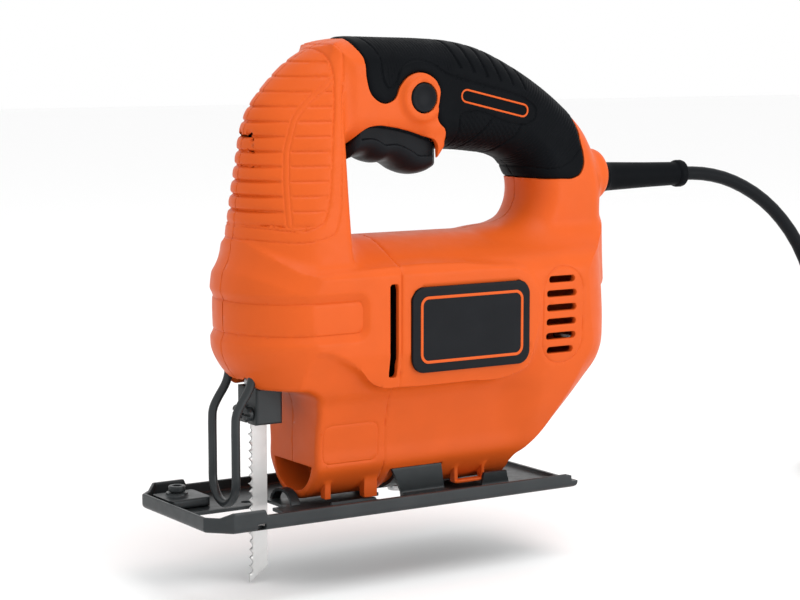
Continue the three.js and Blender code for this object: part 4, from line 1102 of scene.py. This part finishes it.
def blade_shape(x, y, z):
    turn = (z + 27) / TOOTH_PITCH
    share = turn - np.floor(turn)
    toothed = (z > -27) & (z < 34.3)
    front = -54.4 + np.where(toothed, 1.7 * np.sin(np.pi * share**0.7), 1.2 * (z > 0))
    lean = np.where(np.floor(turn) % 2 == 0, 0.28, -0.28) * between(-x, 52.4, 54.2) * toothed
    tip = 0.707 * (-z - 30) + 0.5 * (x + 53.6)
    outline = np.maximum(np.maximum(front - x, x + 45.7), np.maximum(tip, z - 43.3))
    return meet(outline, np.abs(y - lean) - 0.5, 0.08)


def clamp_shape(x, y, z):
    block = np.maximum(rounded_box(x, y, (-54.9, -8.3), (-42.4, 8.3), 1.1),
                       rounded_box(y, z, (-8.3, 37), (8.3, 52.3), 0.8))
    slot = np.maximum(np.abs(y) - 0.8, np.maximum(x + 45.2, z - 43.8))
    room = np.maximum(np.maximum(np.abs(x + 50) - 3.3, np.abs(y) - 5.8), 44.6 - z)
    screws = np.hypot(np.abs(y) - CLAMP_SCREW_Y, z - CLAMP_SCREW_Z) - 1.9
    pads = np.maximum(
        np.hypot(np.abs(y) - CLAMP_SCREW_Y, z - CLAMP_SCREW_Z) - 3.3, np.maximum(-55.1 - x, x + 50))
    whole = join(block, pads, 0.3)
    for opening in (slot, room, np.maximum(screws, x + 46)):
        whole = meet(whole, -opening, 0.15)
    return whole


def clamp_screw_shape(side):
    def field(x, y, z):
        reach = np.hypot(y - CLAMP_SCREW_Y * side, z - CLAMP_SCREW_Z)
        head = meet(reach - 3, np.maximum(-58.2 - x, x + 55.2), 0.6)
        shank = np.maximum(reach - 1.6, np.maximum(-57 - x, x + 46.4))
        slot = np.maximum(np.abs(z - CLAMP_SCREW_Z) - 0.5, x + 57)
        return meet(np.minimum(head, shank), -slot, 0.1)
    return field


def make_blade_and_clamp(blade_steel, coated):
    blade = solid_piece("saw_blade_ground", blade_shape, (-56.5, -1.6, -31.5), (-44.5, 1.6, 45), 0.42,
                        blade_steel, "plunger")
    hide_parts("saw_blade")
    clamp = solid_piece("blade_clamp_block", clamp_shape, (-56.5, -9.8, 35.5), (-41, 9.8, 53.8), 0.55, coated,
                        "plunger")
    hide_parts("blade_clamp")
    for side, number in ((1, 1), (-1, 2)):
        screw = solid_piece(f"clamp_screw_{number}_slotted", clamp_screw_shape(side),
                            (-59.4, 4 * side - 4, 37.5), (-45.4, 4 * side + 4, 45.5), 0.4, coated, "plunger")
        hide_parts(f"clamp_screw_{number}")


def smooth_path(points, per):
    """A Catmull-Rom line through points in space, with per steps between each two."""
    points = np.array(points, float)
    padded = np.concatenate([[2 * points[0] - points[1]], points, [2 * points[-1] - points[-2]]])
    result = []
    for k in range(1, len(padded) - 2):
        a, b, c, d = padded[k - 1:k + 3]
        for i in range(per):
            t = i / per
            result.append(b + 0.5 * t * (c - a + t * (2 * a - 5 * b + 4 * c - d + t * (3 * (b - c) + d - a))))
    result.append(points[-1])
    return np.array(result)


def tube_piece(name, path, radius, sides, material, body):
    """A round tube along a path, closed at both ends."""
    path = np.array(path, float)
    along = np.gradient(path, axis=0)
    along /= np.linalg.norm(along, axis=1, keepdims=True)
    across = np.cross(along[0], (0, 0, 1) if abs(along[0][2]) < 0.9 else (0, 1, 0))
    angle = 2 * np.pi * np.arange(sides) / sides
    rings = []
    for point, way in zip(path, along):
        across = across - way * (across @ way)
        across /= np.linalg.norm(across)
        up = np.cross(way, across)
        rings.append(point + radius * (np.cos(angle)[:, None] * across + np.sin(angle)[:, None] * up))
    points, faces = ring_mesh(rings)
    return mesh_object(name, points, faces, material, body, 50)


def make_guard(coated):
    half, front, bend_z = 10.1, -65.7, 14.6
    side = [(-57.8, 65), (-57.8, 61), (-57.9, 57), (-59.4, 52.5), (-63.4, 46.4), (-65.3, 42.4), (front, 38),
            (front, 28), (front, 19), (front, bend_z)]
    turns = np.linspace(0, math.pi, 9)[1:-1]
    bend = [(front, half * math.cos(a), bend_z - half * math.sin(a)) for a in turns]
    path = [(x, half, z) for x, z in side] + bend + [(x, -half, z) for x, z in side[::-1]]
    guard = tube_piece(
        "blade_guard_wire", smooth_path(path, 5), 1.85, 20, coated, "root")
    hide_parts("blade_guard")


# ---- Cord ----

CORD_DIAMETER = 6.4
GROUND_Z = -31
COIL_CENTRE = (346, 20)
COIL_OUTER_TURN = 41.4
PLUG_LIFT = 10.5
PLUG_CENTRE = (COIL_CENTRE[0] - COIL_OUTER_TURN + 2 * CORD_DIAMETER, COIL_CENTRE[1] - 30, -4.5)
CORD_ROUTE = [
    (178, 0, 133), (190, 0, 132.4), (203, 0, 130), (216, 0, 125.3), (229, 0, 118.2), (241, 0, 108.6),
    (252, 0, 96), (261, 0, 80), (268, -0.5, 61), (273.5, -2, 40), (279, -5, 20), (286, -9.5, 2),
    (296.5, -14, -14), (311, -18, -24), (328, -20.7, -27.6), (346, -21.4, -27.8)]
INWARD = [(0.8, 1), (1.8, 2), (6, 6.2), (7, 7.2)]
OUTWARD = [(3.4, 3.6), (4.4, 4.6)]
UPWARD = [(2.6, 2.8), (5.2, 5.4)]
COIL_TURNS = 7.75


def coil_point(turn):
    """A point of the tied coil: it winds inwards, one layer up, outwards, one layer up and in again."""
    radius = COIL_OUTER_TURN + CORD_DIAMETER * (
        sum(between(turn, *span) for span in OUTWARD) - sum(between(turn, *span) for span in INWARD))
    height = GROUND_Z + CORD_DIAMETER / 2 + CORD_DIAMETER * sum(between(turn, *span) for span in UPWARD)
    height = height + PLUG_LIFT * between(turn, 7.3, 7.72)
    angle = 2 * math.pi * (turn - 0.25)
    return (COIL_CENTRE[0] + radius * math.cos(angle), COIL_CENTRE[1] + radius * math.sin(angle), height)


def plug_shape(x, y, z):
    """The plug's moulded body. Its cord end points to +Y and its pins to -Y."""
    u, v, w = PLUG_CENTRE[1] - y, np.abs(x - PLUG_CENTRE[0]), np.abs(z - PLUG_CENTRE[2])
    half = np.interp(u, [-30, -16, -11, -5, 2, 10, 15, 18], [4.2, 5.4, 7.2, 12.2, 15.6, 16.8, 16.4, 15.4])
    thick = np.interp(u, [-30, -16, -8, 0, 18], [4.2, 5.2, 6.2, 6.9, 6.9])
    body = meet(meet(v - half, w - thick, 3.4), np.maximum(-30 - u, u - 18), 1.2)
    ridge = 0.35 * (0.5 - 0.5 * np.cos(2 * np.pi * (u + 30) / 3.2)) * between(-u, 13, 15)
    return body + ridge


def make_plug(black, steel):
    low = tuple(c - r for c, r in zip(PLUG_CENTRE, (19, 20, 9)))
    high = tuple(c + r for c, r in zip(PLUG_CENTRE, (19, 32, 9)))
    body = solid_piece(
        "plug_body", plug_shape, low, high, 0.9, black, "root", fine_edges(1.1), 1)
    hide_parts("plug")
    pins = []
    for k, offset in enumerate((-9.5, 9.5)):
        profile = [(0.4, 19), (2, 18.9), (2.4, 18.2), (2.4, 0), (0.4, -1)]
        centre = (PLUG_CENTRE[0] + offset, PLUG_CENTRE[1] - 36, PLUG_CENTRE[2])
        pins.append(turned_piece(f"plug_pin_{k + 1}", "y", centre, profile[::-1], steel, "root", 32))
    return [body, *pins]


def make_tie(material):
    """A band round the coil's turns."""
    angle = math.radians(40)
    towards = np.array((math.cos(angle), math.sin(angle)))
    middle = COIL_OUTER_TURN - CORD_DIAMETER

    def band(x, y, z):
        out = (x - COIL_CENTRE[0]) * towards[0] + (y - COIL_CENTRE[1]) * towards[1] - middle
        along = (y - COIL_CENTRE[1]) * towards[0] - (x - COIL_CENTRE[0]) * towards[1]
        ring = np.abs(rounded_box(out, z, (-10.2, GROUND_Z + 0.1), (10.2, GROUND_Z + 19.9), 3) + 0.1) - 0.45
        return meet(ring, np.abs(along) - 5, 0.3)

    place = np.array(COIL_CENTRE) + middle * towards
    return solid_piece("cord_tie", band, (place[0] - 14, place[1] - 14, GROUND_Z - 1.5),
                       (place[0] + 14, place[1] + 14, GROUND_Z + 22), 0.6, material, "root")


def make_cord(jacket, rubber, black, steel):
    boot_profile = [
        (0.5, 119), (5.2, 119), (5.2, 126.8), (7, 127), (7.3, 127.4), (7.3, 129.6), (7, 130.4), (6.6, 131.2),
        (6.5, 134), (5.8, 155), (5.45, 171), (5.5, 172.6), (6.1, 173.3), (6.3, 174), (6.3, 176.2),
        (6.1, 176.9), (5.2, 177.7), (3.4, 178), (0.5, 178)]
    middle = (0, 0, CORD_ROUTE[0][2])
    boot = turned_piece("cord_boot", "x", middle, boot_profile, rubber, "root", 48)
    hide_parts("strain_relief")
    free = smooth_path(CORD_ROUTE, 2)
    coil = [coil_point(k / 32) for k in range(1, int(COIL_TURNS * 32) + 1)]
    path = np.concatenate([free, coil])
    cord = tube_piece("cord_jacket", path, CORD_DIAMETER / 2, 20, jacket, "root")
    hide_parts("cord", "cord_coil")
    on_it = [*make_plug(black, steel), make_tie(black)]


# ---- All together ----


def build():
    make_camera()
    make_studio()
    materials = make_materials()
    dress_inner_parts(materials)
    make_cord(materials["cord_pvc"], materials["soft_grip"], materials["black_plastic"], materials["steel"])
    make_sole(materials["black_sheet_steel"])
    make_blade_and_clamp(materials["blade_steel"], materials["black_sheet_steel"])
    make_guard(materials["black_sheet_steel"])
    make_trigger(materials["black_plastic"])
    make_lock_button(materials["black_plastic"])
    make_badges(materials["black_plastic"], materials["orange_shell"])
    make_grips(materials["soft_grip"], materials["orange_shell"])
    make_housing(materials["orange_shell"])


build()
